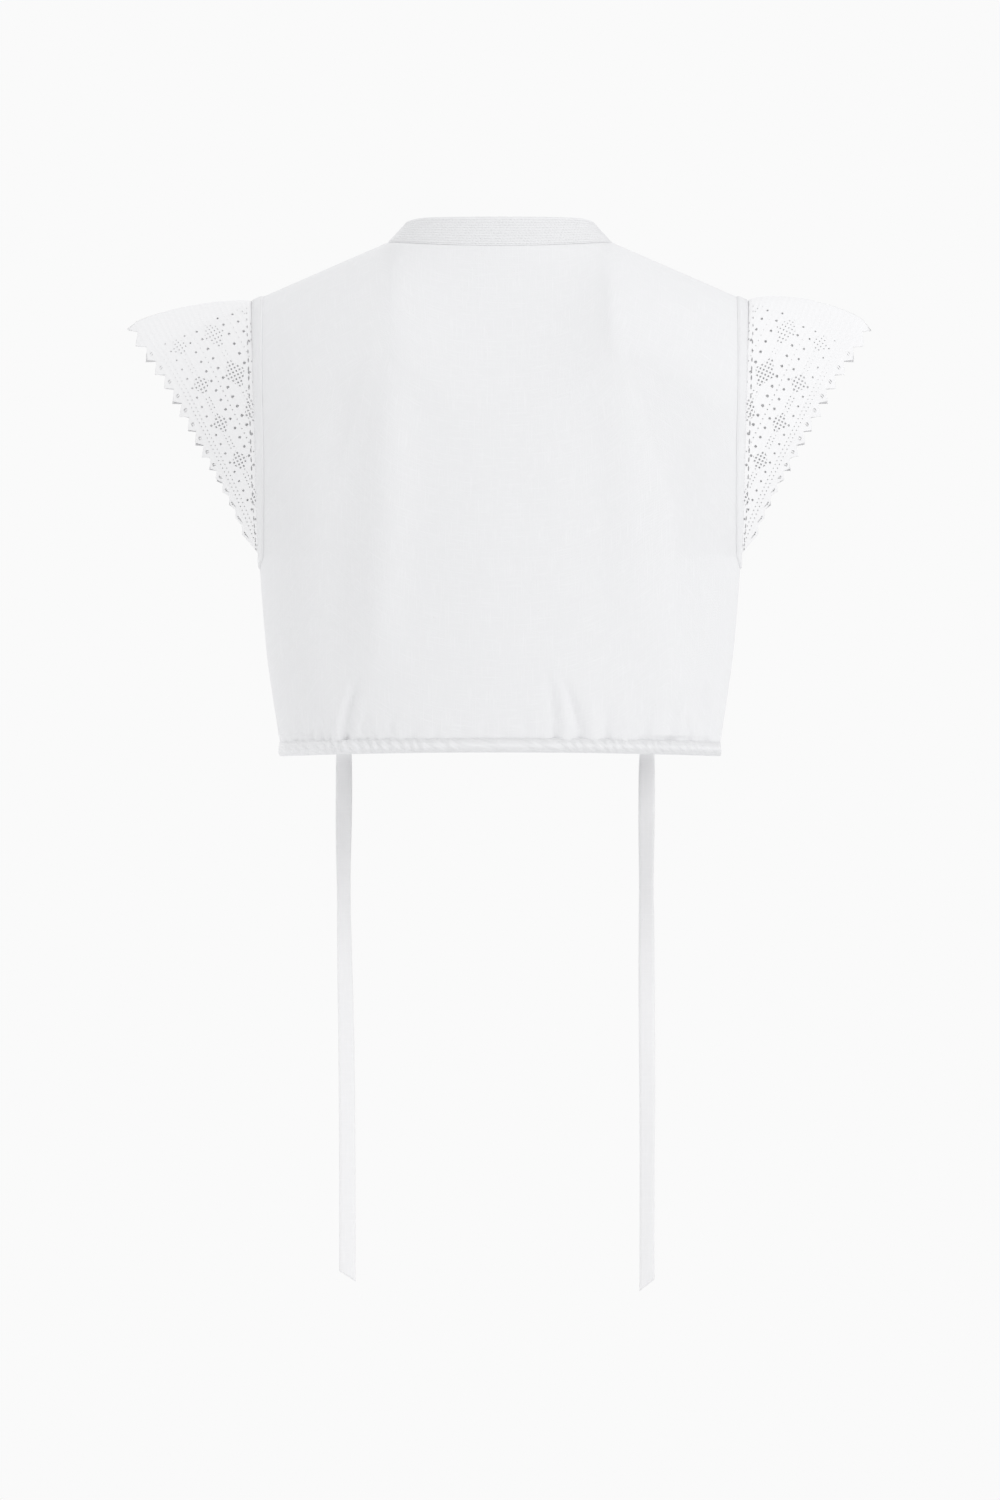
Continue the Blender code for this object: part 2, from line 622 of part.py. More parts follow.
def build_button_band():
    """Button band down the centre front, lying on both fronts."""
    trees = {1: outer_face(bpy.data.objects["front_right"]), -1: outer_face(bpy.data.objects["front_left"])}
    heights = [panel_point(0, fall, "front").z for fall in range(ROLL_ROWS + ARMHOLE_ROWS + SKIRT_ROWS + 1)]
    heights[0] -= BUTTON_BAND_TOP_GAP
    rows = []
    for z in heights:
        row = []
        for share in (-1, -BUTTON_BAND_INNER_SHARE, BUTTON_BAND_INNER_SHARE, 1):
            x = share * BUTTON_BAND_HALF
            spot, out, _, _ = trees[1 if x > 0 else -1].ray_cast(Vector((x, 1.0, z)), Vector((0, -1, 0)))
            row.append(spot + out * (LIFT + PANEL_WALL))
        rows.append(row)
    cloth_wall("button_band", rows, PANEL_WALL, WHITE_COTTON, flip=True)


def button(name, seat, out):
    """A turned shirt button with a raised rim and a dished face."""
    across = Vector((1.0, 0.0, 0.0))
    up = out.cross(across).normalized()
    turns = [2 * math.pi * i / BUTTON_SIDES for i in range(BUTTON_SIDES)]
    rings = []
    for step in BUTTON_PROFILE:
        middle = seat + out * (step["height"] * BUTTON_THICKNESS)
        radius = step["radius"] * BUTTON_RADIUS
        rings.append([middle + across * (radius * math.cos(t)) + up * (radius * math.sin(t))
                      for t in turns])
    loft(name, rings, WHITE_SHELL, BUTTON_ROUGHNESS)


def build_buttons():
    """Five buttons on the band and one on the collar."""
    band = outer_face(bpy.data.objects["button_band"])
    for i, z in enumerate(BUTTON_DROPS):
        spot, out, _, _ = band.ray_cast(Vector((0.0, 1.0, z)), Vector((0, -1, 0)))
        button("button_%d" % (i + 1), spot + out * SEAM, out)
    collar = outer_face(bpy.data.objects["collar"])
    spot, out = laid_on([collar], collar_point(math.pi, COLLAR_BUTTON_UP))
    button("button_collar", spot + out * SEAM, out)


def build_ties():
    """The drawstring's two free ends: flat tapes that hang from the front casing, cut obliquely."""
    for name, route in TAPE_ROUTES.items():
        rings = []
        for i, stop in enumerate(route):
            centre = Vector((stop["x"], stop["y"], stop["z"])) * MM
            turn = math.radians(stop["turn"])
            across = Vector((math.cos(turn), math.sin(turn), 0.0))
            out = Vector((-math.sin(turn), math.cos(turn), 0.0)) * 0.5 * TAPE_WALL
            slant = TAPE_END_SLANT[name] if i == len(route) - 1 else 0.0
            left = centre - across * TAPE_HALF_WIDTH
            right = centre + across * TAPE_HALF_WIDTH
            left.z -= 0.5 * slant
            right.z += 0.5 * slant
            rings.append([left - out, right - out, right + out, left + out])
        loft(name, rings, WHITE_TAPE)


for old in list(bpy.data.objects):
    bpy.data.objects.remove(old, do_unlink=True)
bpy.context.scene.unit_settings.system = "METRIC"

build_back()
build_fronts()
build_collar()
build_casings()
build_armhole_bands()
build_sleeves()
build_button_band()
build_buttons()
build_ties()
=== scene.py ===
"""The looks of a short white dirndl blouse, photographed from behind in its hollow worn form.

Metres, +Z up. The wearer faces +Y. Every cloth piece is a thin shell on the form of its CAD solid.
"""
import math

import bpy
import numpy as np
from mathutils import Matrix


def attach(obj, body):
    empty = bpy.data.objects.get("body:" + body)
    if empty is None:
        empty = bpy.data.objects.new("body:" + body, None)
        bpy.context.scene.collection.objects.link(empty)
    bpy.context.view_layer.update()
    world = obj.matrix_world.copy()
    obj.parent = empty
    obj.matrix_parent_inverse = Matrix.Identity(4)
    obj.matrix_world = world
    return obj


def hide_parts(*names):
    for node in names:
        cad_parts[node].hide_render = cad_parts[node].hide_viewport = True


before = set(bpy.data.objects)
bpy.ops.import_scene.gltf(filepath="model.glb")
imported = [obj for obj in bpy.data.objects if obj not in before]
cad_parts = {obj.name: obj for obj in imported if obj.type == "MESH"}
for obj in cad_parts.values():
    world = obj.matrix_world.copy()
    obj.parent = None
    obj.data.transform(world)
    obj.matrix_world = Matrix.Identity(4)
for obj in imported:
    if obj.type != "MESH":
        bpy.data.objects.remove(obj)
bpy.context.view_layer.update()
MM = 0.001

# Camera and studio
# The blouse is seen from straight behind through a long lens, against a plain near-white ground
# with soft, even light and one large soft lamp from the right.
CAMERA_DISTANCE = 16.0
CAMERA_HEIGHT = -0.3769
PHOTO_HALF_HEIGHT = 0.5625
GROUND_WHITE = 0.956
AMBIENT_LIGHT = 1.0
FLOOR_HEIGHT = -1.02

camera_data = bpy.data.cameras.new("camera")
camera_data.sensor_width = 36
camera_data.lens = 0.5 * camera_data.sensor_width * CAMERA_DISTANCE / PHOTO_HALF_HEIGHT
camera = bpy.data.objects.new("camera", camera_data)
camera.location = (0, -CAMERA_DISTANCE, CAMERA_HEIGHT)
camera.rotation_euler = (math.radians(90), 0, 0)
bpy.context.scene.collection.objects.link(camera)
bpy.context.scene.camera = camera
bpy.context.scene.view_settings.view_transform = "Standard"


def seen_and_shed(tree, output_name, shader_type, shed_strength):
    """A plain white glow: the camera sees the ground's white, and the cloth is lit by a softer one."""
    nodes, links = tree.nodes, tree.links
    nodes.clear()
    seen = nodes.new(shader_type)
    seen.inputs["Color"].default_value = (GROUND_WHITE, GROUND_WHITE, GROUND_WHITE, 1)
    shed = nodes.new(shader_type)
    shed.inputs["Color"].default_value = (1.0, 1.0, 1.0, 1)
    shed.inputs["Strength"].default_value = shed_strength
    path = nodes.new("ShaderNodeLightPath")
    mix = nodes.new("ShaderNodeMixShader")
    links.new(path.outputs["Is Camera Ray"], mix.inputs[0])
    links.new(shed.outputs[0], mix.inputs[1])
    links.new(seen.outputs[0], mix.inputs[2])
    output = nodes.new(output_name)
    links.new(mix.outputs[0], output.inputs["Surface"])


world = bpy.data.worlds.new("studio")
world.use_nodes = True
seen_and_shed(world.node_tree, "ShaderNodeOutputWorld", "ShaderNodeBackground", AMBIENT_LIGHT)
bpy.context.scene.world = world

floor_mesh = bpy.data.meshes.new("floor")
floor_mesh.from_pydata([(-40, -40, FLOOR_HEIGHT), (40, -40, FLOOR_HEIGHT), (40, 40, FLOOR_HEIGHT),
                        (-40, 40, FLOOR_HEIGHT)], [], [(0, 1, 2, 3)])
floor = bpy.data.objects.new("floor", floor_mesh)
floor_material = bpy.data.materials.new("pale floor")
floor_material.use_nodes = True
seen_and_shed(floor_material.node_tree, "ShaderNodeOutputMaterial", "ShaderNodeEmission", AMBIENT_LIGHT)
floor_mesh.materials.append(floor_material)
bpy.context.scene.collection.objects.link(floor)


def soft_lamp(name, place, aim, size, power):
    """A square area lamp at a place, turned towards the aim."""
    data = bpy.data.lights.new(name, "AREA")
    data.size = size
    data.energy = power
    lamp = bpy.data.objects.new(name, data)
    lamp.location = place
    away = np.array(place) - np.array(aim)
    lamp.rotation_euler = (math.acos(away[2] / np.linalg.norm(away)), 0, math.atan2(away[1], away[0]) + math.pi / 2)
    bpy.context.scene.collection.objects.link(lamp)


soft_lamp("key", (3.2, -2.6, 1.3), (0, 0, -0.2), 1.6, 28)
soft_lamp("fill", (-1.4, 4.0, 1.0), (0, 0, -0.2), 2.5, 30)

# Drawstring ends
# Two limp cotton twill tapes, 12 mm wide, are the free ends of the drawstring in the hem. They leave
# the front casing through buttonholes, hang straight down and are cut off obliquely.
TAPE_WIDTH = 12.4 * MM
TAPE_WALL = 0.7 * MM
TAPE_INSIDE = 4.0 * MM
TAPE_STEPS = 220
TAPE_COLOUR = (0.87, 0.87, 0.88)
TAPE_ROUTES = {
    "tie_left": (
        {"x": -117.6, "y": 78.5, "z": -373.0, "turn": 28},
        {"x": -117.6, "y": 80.5, "z": -380.0, "turn": 20},
        {"x": -117.6, "y": 81.5, "z": -392.0, "turn": 10},
        {"x": -117.7, "y": 81.9, "z": -420.0, "turn": 4},
        {"x": -117.9, "y": 82.1, "z": -450.0, "turn": 22},
        {"x": -117.8, "y": 82.1, "z": -482.0, "turn": 34},
        {"x": -117.4, "y": 81.9, "z": -514.0, "turn": 30},
        {"x": -116.8, "y": 81.7, "z": -546.0, "turn": 24},
        {"x": -116.1, "y": 81.7, "z": -580.0, "turn": 16},
        {"x": -115.6, "y": 81.9, "z": -614.0, "turn": 12},
        {"x": -115.3, "y": 82.1, "z": -650.0, "turn": 10},
        {"x": -115.1, "y": 82.1, "z": -686.0, "turn": 8},
        {"x": -115.0, "y": 81.9, "z": -722.0, "turn": 4},
        {"x": -115.0, "y": 81.7, "z": -755.0, "turn": 0},
        {"x": -115.0, "y": 81.5, "z": -773.5, "turn": 0},
    ),
    "tie_right": (
        {"x": 110.8, "y": 81.8, "z": -373.0, "turn": -28},
        {"x": 110.8, "y": 83.2, "z": -380.0, "turn": -24},
        {"x": 110.7, "y": 84.3, "z": -392.0, "turn": -12},
        {"x": 110.6, "y": 84.8, "z": -420.0, "turn": 0},
        {"x": 110.4, "y": 85.0, "z": -450.0, "turn": -18},
        {"x": 110.4, "y": 85.0, "z": -482.0, "turn": -26},
        {"x": 110.5, "y": 84.8, "z": -514.0, "turn": -16},
        {"x": 110.6, "y": 84.6, "z": -546.0, "turn": -8},
        {"x": 110.8, "y": 84.6, "z": -580.0, "turn": -4},
        {"x": 111.0, "y": 84.8, "z": -614.0, "turn": -10},
        {"x": 111.1, "y": 85.0, "z": -650.0, "turn": -16},
        {"x": 111.0, "y": 85.0, "z": -686.0, "turn": -22},
        {"x": 110.9, "y": 84.8, "z": -722.0, "turn": -24},
        {"x": 110.8, "y": 84.6, "z": -757.0, "turn": -24},
        {"x": 110.8, "y": 84.4, "z": -780.5, "turn": -24},
    ),
}
TAPE_END_SLANT = {"tie_left": -8.0 * MM, "tie_right": 9.0 * MM}


def through(table, key, place, value):
    """A smooth curve through one column of a table, read at places in its key column: between two
    rows it is the cubic that has the table's values and mean slopes at both."""
    keys = np.array([row[key] for row in table], float)
    values = np.array([row[value] for row in table], float)
    if keys[0] > keys[-1]:
        keys, values = keys[::-1], values[::-1]
    slopes = np.gradient(values, keys)
    place = np.asarray(place, float)
    i = np.clip(np.searchsorted(keys, place) - 1, 0, len(keys) - 2)
    width = keys[i + 1] - keys[i]
    t = np.clip((place - keys[i]) / width, 0.0, 1.0)
    near = values[i] * (1 + 2 * t) * (1 - t) ** 2 + slopes[i] * width * t * (1 - t) ** 2
    far = values[i + 1] * t * t * (3 - 2 * t) + slopes[i + 1] * width * t * t * (t - 1)
    return near + far


def quads(rows, columns, around=False, offset=0):
    """The corners of a grid's faces: each cell of rows by columns points, the last column joined to
    the first where the grid goes around."""
    across = columns if around else columns - 1
    r, c = np.meshgrid(np.arange(rows - 1), np.arange(across), indexing="ij")
    right = (c + 1) % columns
    corners = np.stack([r * columns + c, r * columns + right, (r + 1) * columns + right, (r + 1) * columns + c], -1)
    return corners.reshape(-1, 4) + offset


def piece(name, points, faces, material, uv=None, smooth=True):
    """A finished piece of the blouse: points and faces go into one mesh that rides with the blouse.
    The uv array holds one place on the cloth, in millimetres, for each point."""
    mesh = bpy.data.meshes.new(name)
    points = np.asarray(points, float).reshape(-1, 3)
    faces = faces.tolist() if isinstance(faces, np.ndarray) else faces
    mesh.from_pydata(points.tolist(), [], faces)
    if uv is not None:
        corners = np.empty(len(mesh.loops), int)
        mesh.loops.foreach_get("vertex_index", corners)
        layer = mesh.uv_layers.new(name="cloth")
        layer.data.foreach_set("uv", np.asarray(uv, float).reshape(-1, 2)[corners].ravel())
    mesh.polygons.foreach_set("use_smooth", np.full(len(mesh.polygons), smooth))
    mesh.materials.append(material)
    mesh.update()
    made = bpy.data.objects.new(name, mesh)
    bpy.context.scene.collection.objects.link(made)
    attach(made, "root")
    return made


def group(name, inputs, outputs):
    """An empty shader node group with named sockets, and the nodes that stand for both ends."""
    made = bpy.data.node_groups.new(name, "ShaderNodeTree")
    for socket, kind, value in inputs:
        item = made.interface.new_socket(name=socket, in_out="INPUT", socket_type=kind)
        if value is not None:
            item.default_value = value
    for socket, kind in outputs:
        made.interface.new_socket(name=socket, in_out="OUTPUT", socket_type=kind)
    return made, made.nodes.new("NodeGroupInput"), made.nodes.new("NodeGroupOutput")


def sum_node(tree, operation, first, second=None, third=None):
    """A maths node: each operand is a number or another node's output."""
    node = tree.nodes.new("ShaderNodeMath")
    node.operation = operation
    for i, operand in enumerate((first, second, third)):
        if operand is None:
            continue
        if isinstance(operand, (int, float)):
            node.inputs[i].default_value = operand
        else:
            tree.links.new(operand, node.inputs[i])
    return node.outputs[0]


def weave_group():
    """Plain weave with slubs, on a cloth map in millimetres.

    Warp and weft are two sine ridges that take turns to lie on top. A slub is where noise that is
    stretched along a thread passes a limit, and a fleck is where fine noise passes a higher one.
    """
    made, given, result = group(
        "slubby plain weave",
        [("Cloth", "NodeSocketVector", None), ("Threads per mm", "NodeSocketFloat", 1.9),
         ("Slub", "NodeSocketFloat", 0.6)],
        [("Height", "NodeSocketFloat"), ("Painted shade", "NodeSocketFloat"), ("Fleck", "NodeSocketFloat")])
    split = made.nodes.new("ShaderNodeSeparateXYZ")
    made.links.new(given.outputs["Cloth"], split.inputs[0])
    turns = sum_node(made, "MULTIPLY", given.outputs["Threads per mm"], math.pi)
    across = sum_node(made, "SINE", sum_node(made, "MULTIPLY", split.outputs["X"], turns))
    along = sum_node(made, "SINE", sum_node(made, "MULTIPLY", split.outputs["Y"], turns))
    over = sum_node(made, "MULTIPLY", across, along)
    ridges = sum_node(made, "ADD", sum_node(made, "MULTIPLY", across, across),
                      sum_node(made, "MULTIPLY", along, along))
    threads = sum_node(made, "MULTIPLY_ADD", over, 0.35, sum_node(made, "MULTIPLY", ridges, -0.4))
    slubs = []
    for stretch in ((0.9, 0.05, 1.0), (0.05, 0.9, 1.0)):
        lay = made.nodes.new("ShaderNodeMapping")
        lay.inputs["Scale"].default_value = stretch
        made.links.new(given.outputs["Cloth"], lay.inputs["Vector"])
        noise = made.nodes.new("ShaderNodeTexNoise")
        noise.inputs["Scale"].default_value = 1.0
        noise.inputs["Detail"].default_value = 3.0
        made.links.new(lay.outputs[0], noise.inputs["Vector"])
        limit = made.nodes.new("ShaderNodeMapRange")
        limit.inputs["From Min"].default_value = 0.52
        limit.inputs["From Max"].default_value = 0.78
        made.links.new(noise.outputs["Fac"], limit.inputs["Value"])
        slubs.append(limit.outputs[0])
    slub = sum_node(made, "MAXIMUM", slubs[0], slubs[1])
    thick = sum_node(made, "MULTIPLY", slub, given.outputs["Slub"])
    made.links.new(sum_node(made, "ADD", threads, thick), result.inputs["Height"])
    # Painted shade: the colour follows the threads' relief, darker where they lie low and lighter on the raised slubs.
    made.links.new(sum_node(made, "MULTIPLY_ADD", threads, 0.25, slub), result.inputs["Painted shade"])
    speck = made.nodes.new("ShaderNodeTexNoise")
    speck.inputs["Scale"].default_value = 0.23
    speck.inputs["Detail"].default_value = 2.0
    made.links.new(given.outputs["Cloth"], speck.inputs["Vector"])
    rare = made.nodes.new("ShaderNodeMapRange")
    rare.inputs["From Min"].default_value = 0.76
    rare.inputs["From Max"].default_value = 0.82
    made.links.new(speck.outputs["Fac"], rare.inputs["Value"])
    made.links.new(rare.outputs[0], result.inputs["Fleck"])
    return made


weave = weave_group()


def cloth_material(name, colour, threads, slub, bump, fleck_colour, rough=0.9, sheen=0.12):
    """Woven cotton: the weave group lifts the surface and paints shade into the colour, darker where threads lie low,
    lighter on slubs.
    """
    made = bpy.data.materials.new(name)
    made.use_nodes = True
    tree = made.node_tree
    shader = tree.nodes["Principled BSDF"]
    shader.inputs["Sheen Weight"].default_value = sheen
    shader.inputs["Sheen Roughness"].default_value = 0.6
    shader.inputs["Specular IOR Level"].default_value = 0.15
    place = tree.nodes.new("ShaderNodeUVMap")
    place.uv_map = "cloth"
    woven = tree.nodes.new("ShaderNodeGroup")
    woven.node_tree = weave
    woven.inputs["Threads per mm"].default_value = threads
    woven.inputs["Slub"].default_value = slub
    tree.links.new(place.outputs["UV"], woven.inputs["Cloth"])
    painted_shade_share = tree.nodes.new("ShaderNodeMapRange")
    painted_shade_share.inputs["From Min"].default_value = -0.4
    painted_shade_share.inputs["From Max"].default_value = 1.0
    painted_shade_share.inputs["To Min"].default_value = 0.0
    painted_shade_share.inputs["To Max"].default_value = 1.0
    tree.links.new(woven.outputs["Painted shade"], painted_shade_share.inputs["Value"])
    painted_shade_tint = tree.nodes.new("ShaderNodeMix")
    painted_shade_tint.data_type = "RGBA"
    painted_shade_tint.inputs["A"].default_value = (*[c * 0.975 for c in colour], 1)
    painted_shade_tint.inputs["B"].default_value = (*[min(1.0, c * 1.03) for c in colour], 1)
    tree.links.new(painted_shade_share.outputs[0], painted_shade_tint.inputs["Factor"])
    flecked = tree.nodes.new("ShaderNodeMix")
    flecked.data_type = "RGBA"
    flecked.inputs["B"].default_value = (*fleck_colour, 1)
    tree.links.new(woven.outputs["Fleck"], flecked.inputs["Factor"])
    tree.links.new(painted_shade_tint.outputs["Result"], flecked.inputs["A"])
    tree.links.new(flecked.outputs["Result"], shader.inputs["Base Color"])
    worn = tree.nodes.new("ShaderNodeMapRange")
    worn.inputs["From Min"].default_value = -0.4
    worn.inputs["From Max"].default_value = 1.0
    worn.inputs["To Min"].default_value = rough
    worn.inputs["To Max"].default_value = rough - 0.12
    tree.links.new(woven.outputs["Painted shade"], worn.inputs["Value"])
    tree.links.new(worn.outputs[0], shader.inputs["Roughness"])
    raised = tree.nodes.new("ShaderNodeBump")
    raised.inputs["Strength"].default_value = bump
    raised.inputs["Distance"].default_value = 0.00012
    tree.links.new(woven.outputs["Height"], raised.inputs["Height"])
    tree.links.new(raised.outputs[0], shader.inputs["Normal"])
    return made


tape_material = cloth_material("cotton tape", TAPE_COLOUR, 1.4, 0.2, 0.9, (0.74, 0.73, 0.71), rough=0.85, sheen=0.2)


def tape(name, route, slant):
    """A flat band carried along its route: at each step its section is a rounded rectangle across
    the route, turned with the table's turn, and the last section is sheared to the oblique cut."""
    drop = np.array([stop["z"] for stop in route])
    z = np.linspace(drop[0], drop[-1], TAPE_STEPS)
    centre = np.stack([through(route, "z", z, "x"), through(route, "z", z, "y"), z], -1) * MM
    inside = centre[0] + np.array([0.0, -TAPE_INSIDE, 0.5 * TAPE_INSIDE])
    centre = np.vstack([inside, centre])
    turn = np.radians(through(route, "z", np.concatenate([[drop[0]], z]), "turn"))
    across = np.stack([np.cos(turn), np.sin(turn), np.zeros_like(turn)], -1)
    out = np.stack([-np.sin(turn), np.cos(turn), np.zeros_like(turn)], -1)
    half, wall = 0.5 * TAPE_WIDTH, 0.5 * TAPE_WALL
    side = np.array([-1, -0.93, -0.5, 0, 0.5, 0.93, 1, 0.93, 0.5, 0, -0.5, -0.93]) * half
    face = np.array([0, -1, -1, -1, -1, -1, 0, 1, 1, 1, 1, 1]) * wall
    curl = 0.10 * wall * np.sin(np.linspace(0, 60, len(turn)))[:, None]
    ring = centre[:, None] + across[:, None] * side[:, None] + out[:, None] * (face[None] + curl)[..., None]
    end = np.clip((np.arange(len(turn)) - len(turn) + 6) / 5, 0, 1)
    ring[..., 2] += 0.5 * slant * end[:, None] * (side / half)[None]
    steps, sides = ring.shape[:2]
    faces = [list(q) for q in quads(steps, sides, around=True)]
    faces.append(list(range(sides))[::-1])
    faces.append(list(range((steps - 1) * sides, steps * sides)))
    run = np.concatenate([[0], np.cumsum(np.linalg.norm(np.diff(centre, axis=0), axis=1))])
    uv = np.stack(np.broadcast_arrays(side[None] / MM, run[:, None] / MM), -1)
    mesh = bpy.data.meshes.new(name)
    mesh.from_pydata(ring.reshape(-1, 3).tolist(), [], faces)
    corners = np.empty(len(mesh.loops), int)
    mesh.loops.foreach_get("vertex_index", corners)
    mesh.uv_layers.new(name="cloth").data.foreach_set("uv", uv.reshape(-1, 2)[corners].ravel())
    mesh.shade_smooth()
    mesh.materials.append(tape_material)
    made = bpy.data.objects.new(name, mesh)
    bpy.context.scene.collection.objects.link(made)
    return made, centre[1:], float(run[-1] - run[1])


for node, route in TAPE_ROUTES.items():
    hanging, line, length = tape(node + "_tape", route, TAPE_END_SLANT[node])
    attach(hanging, "root")
    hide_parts(node)

# Back panel
# The back is one piece of white slubby cotton and linen, cut from armhole to armhole. It hangs from
# the shoulder seams and is gathered into the hem casing.
NECK_HALF_WIDTH = 84 * MM
NECK_BACK = 58 * MM
NECK_FRONT = 72 * MM
NECK_RISE = 3.75 * MM
NECK_DROP = 64 * MM
NECK_DROP_CURVE = 1.3
SHOULDER_X = 186 * MM
SHOULDER_SLOPE = 0.435
UNDERARM_Z = -232 * MM
ARMHOLE_DEPTH = {"back": 54 * MM, "front": 50 * MM}
HEM_Z = -381.2 * MM
HEM_CENTRE_LIFT = 2.8 * MM
CASING_HEIGHT = 10.5 * MM
CASING_TUCK = 2.5 * MM
SECTION_POWER = 2.15
SPREAD_EVEN_BELOW = -40 * MM
NECK_COLUMNS = 6
WHOLE_COLUMNS = 12
ROLL_ROWS = 7
ARMHOLE_ROWS = 5
SKIRT_ROWS = 8
BODY_SECTIONS = (
    {"z": 10 * MM, "half": 186.5 * MM, "back": 80 * MM, "front": 90 * MM},
    {"z": -40 * MM, "half": 186 * MM, "back": 95 * MM, "front": 104 * MM},
    {"z": -100 * MM, "half": 184.5 * MM, "back": 105 * MM, "front": 118 * MM},
    {"z": -160 * MM, "half": 183 * MM, "back": 109 * MM, "front": 128 * MM},
    {"z": -215 * MM, "half": 181.5 * MM, "back": 108 * MM, "front": 132 * MM},
    {"z": -264 * MM, "half": 178.5 * MM, "back": 105 * MM, "front": 125 * MM},
    {"z": -312 * MM, "half": 174 * MM, "back": 102 * MM, "front": 113 * MM},
    {"z": -342 * MM, "half": 169.5 * MM, "back": 100 * MM, "front": 106 * MM},
    {"z": -380 * MM, "half": 163.5 * MM, "back": 98 * MM, "front": 101 * MM},
)
ROLL_AT_NECK_SIDE = {"back": 80 * MM, "front": 135 * MM}
ROLL_AT_CENTRE = {"back": 128 * MM, "front": 118 * MM}
ROLL_CENTRE_POWER = 1.7
ROUND_AT_NECK_SIDE = {"back": 0.9, "front": 0.0}
ROUND_SHOULDER_POWER = 0.7
PANEL_CLOTH = 0.55 * MM
CORNER_REACH = 1.8
CORNER_ROWS = 9
CORNER_ROUNDS = 60
COTTON_COLOUR = (0.815, 0.818, 0.83)
FLECK_COLOUR = (0.75, 0.745, 0.73)

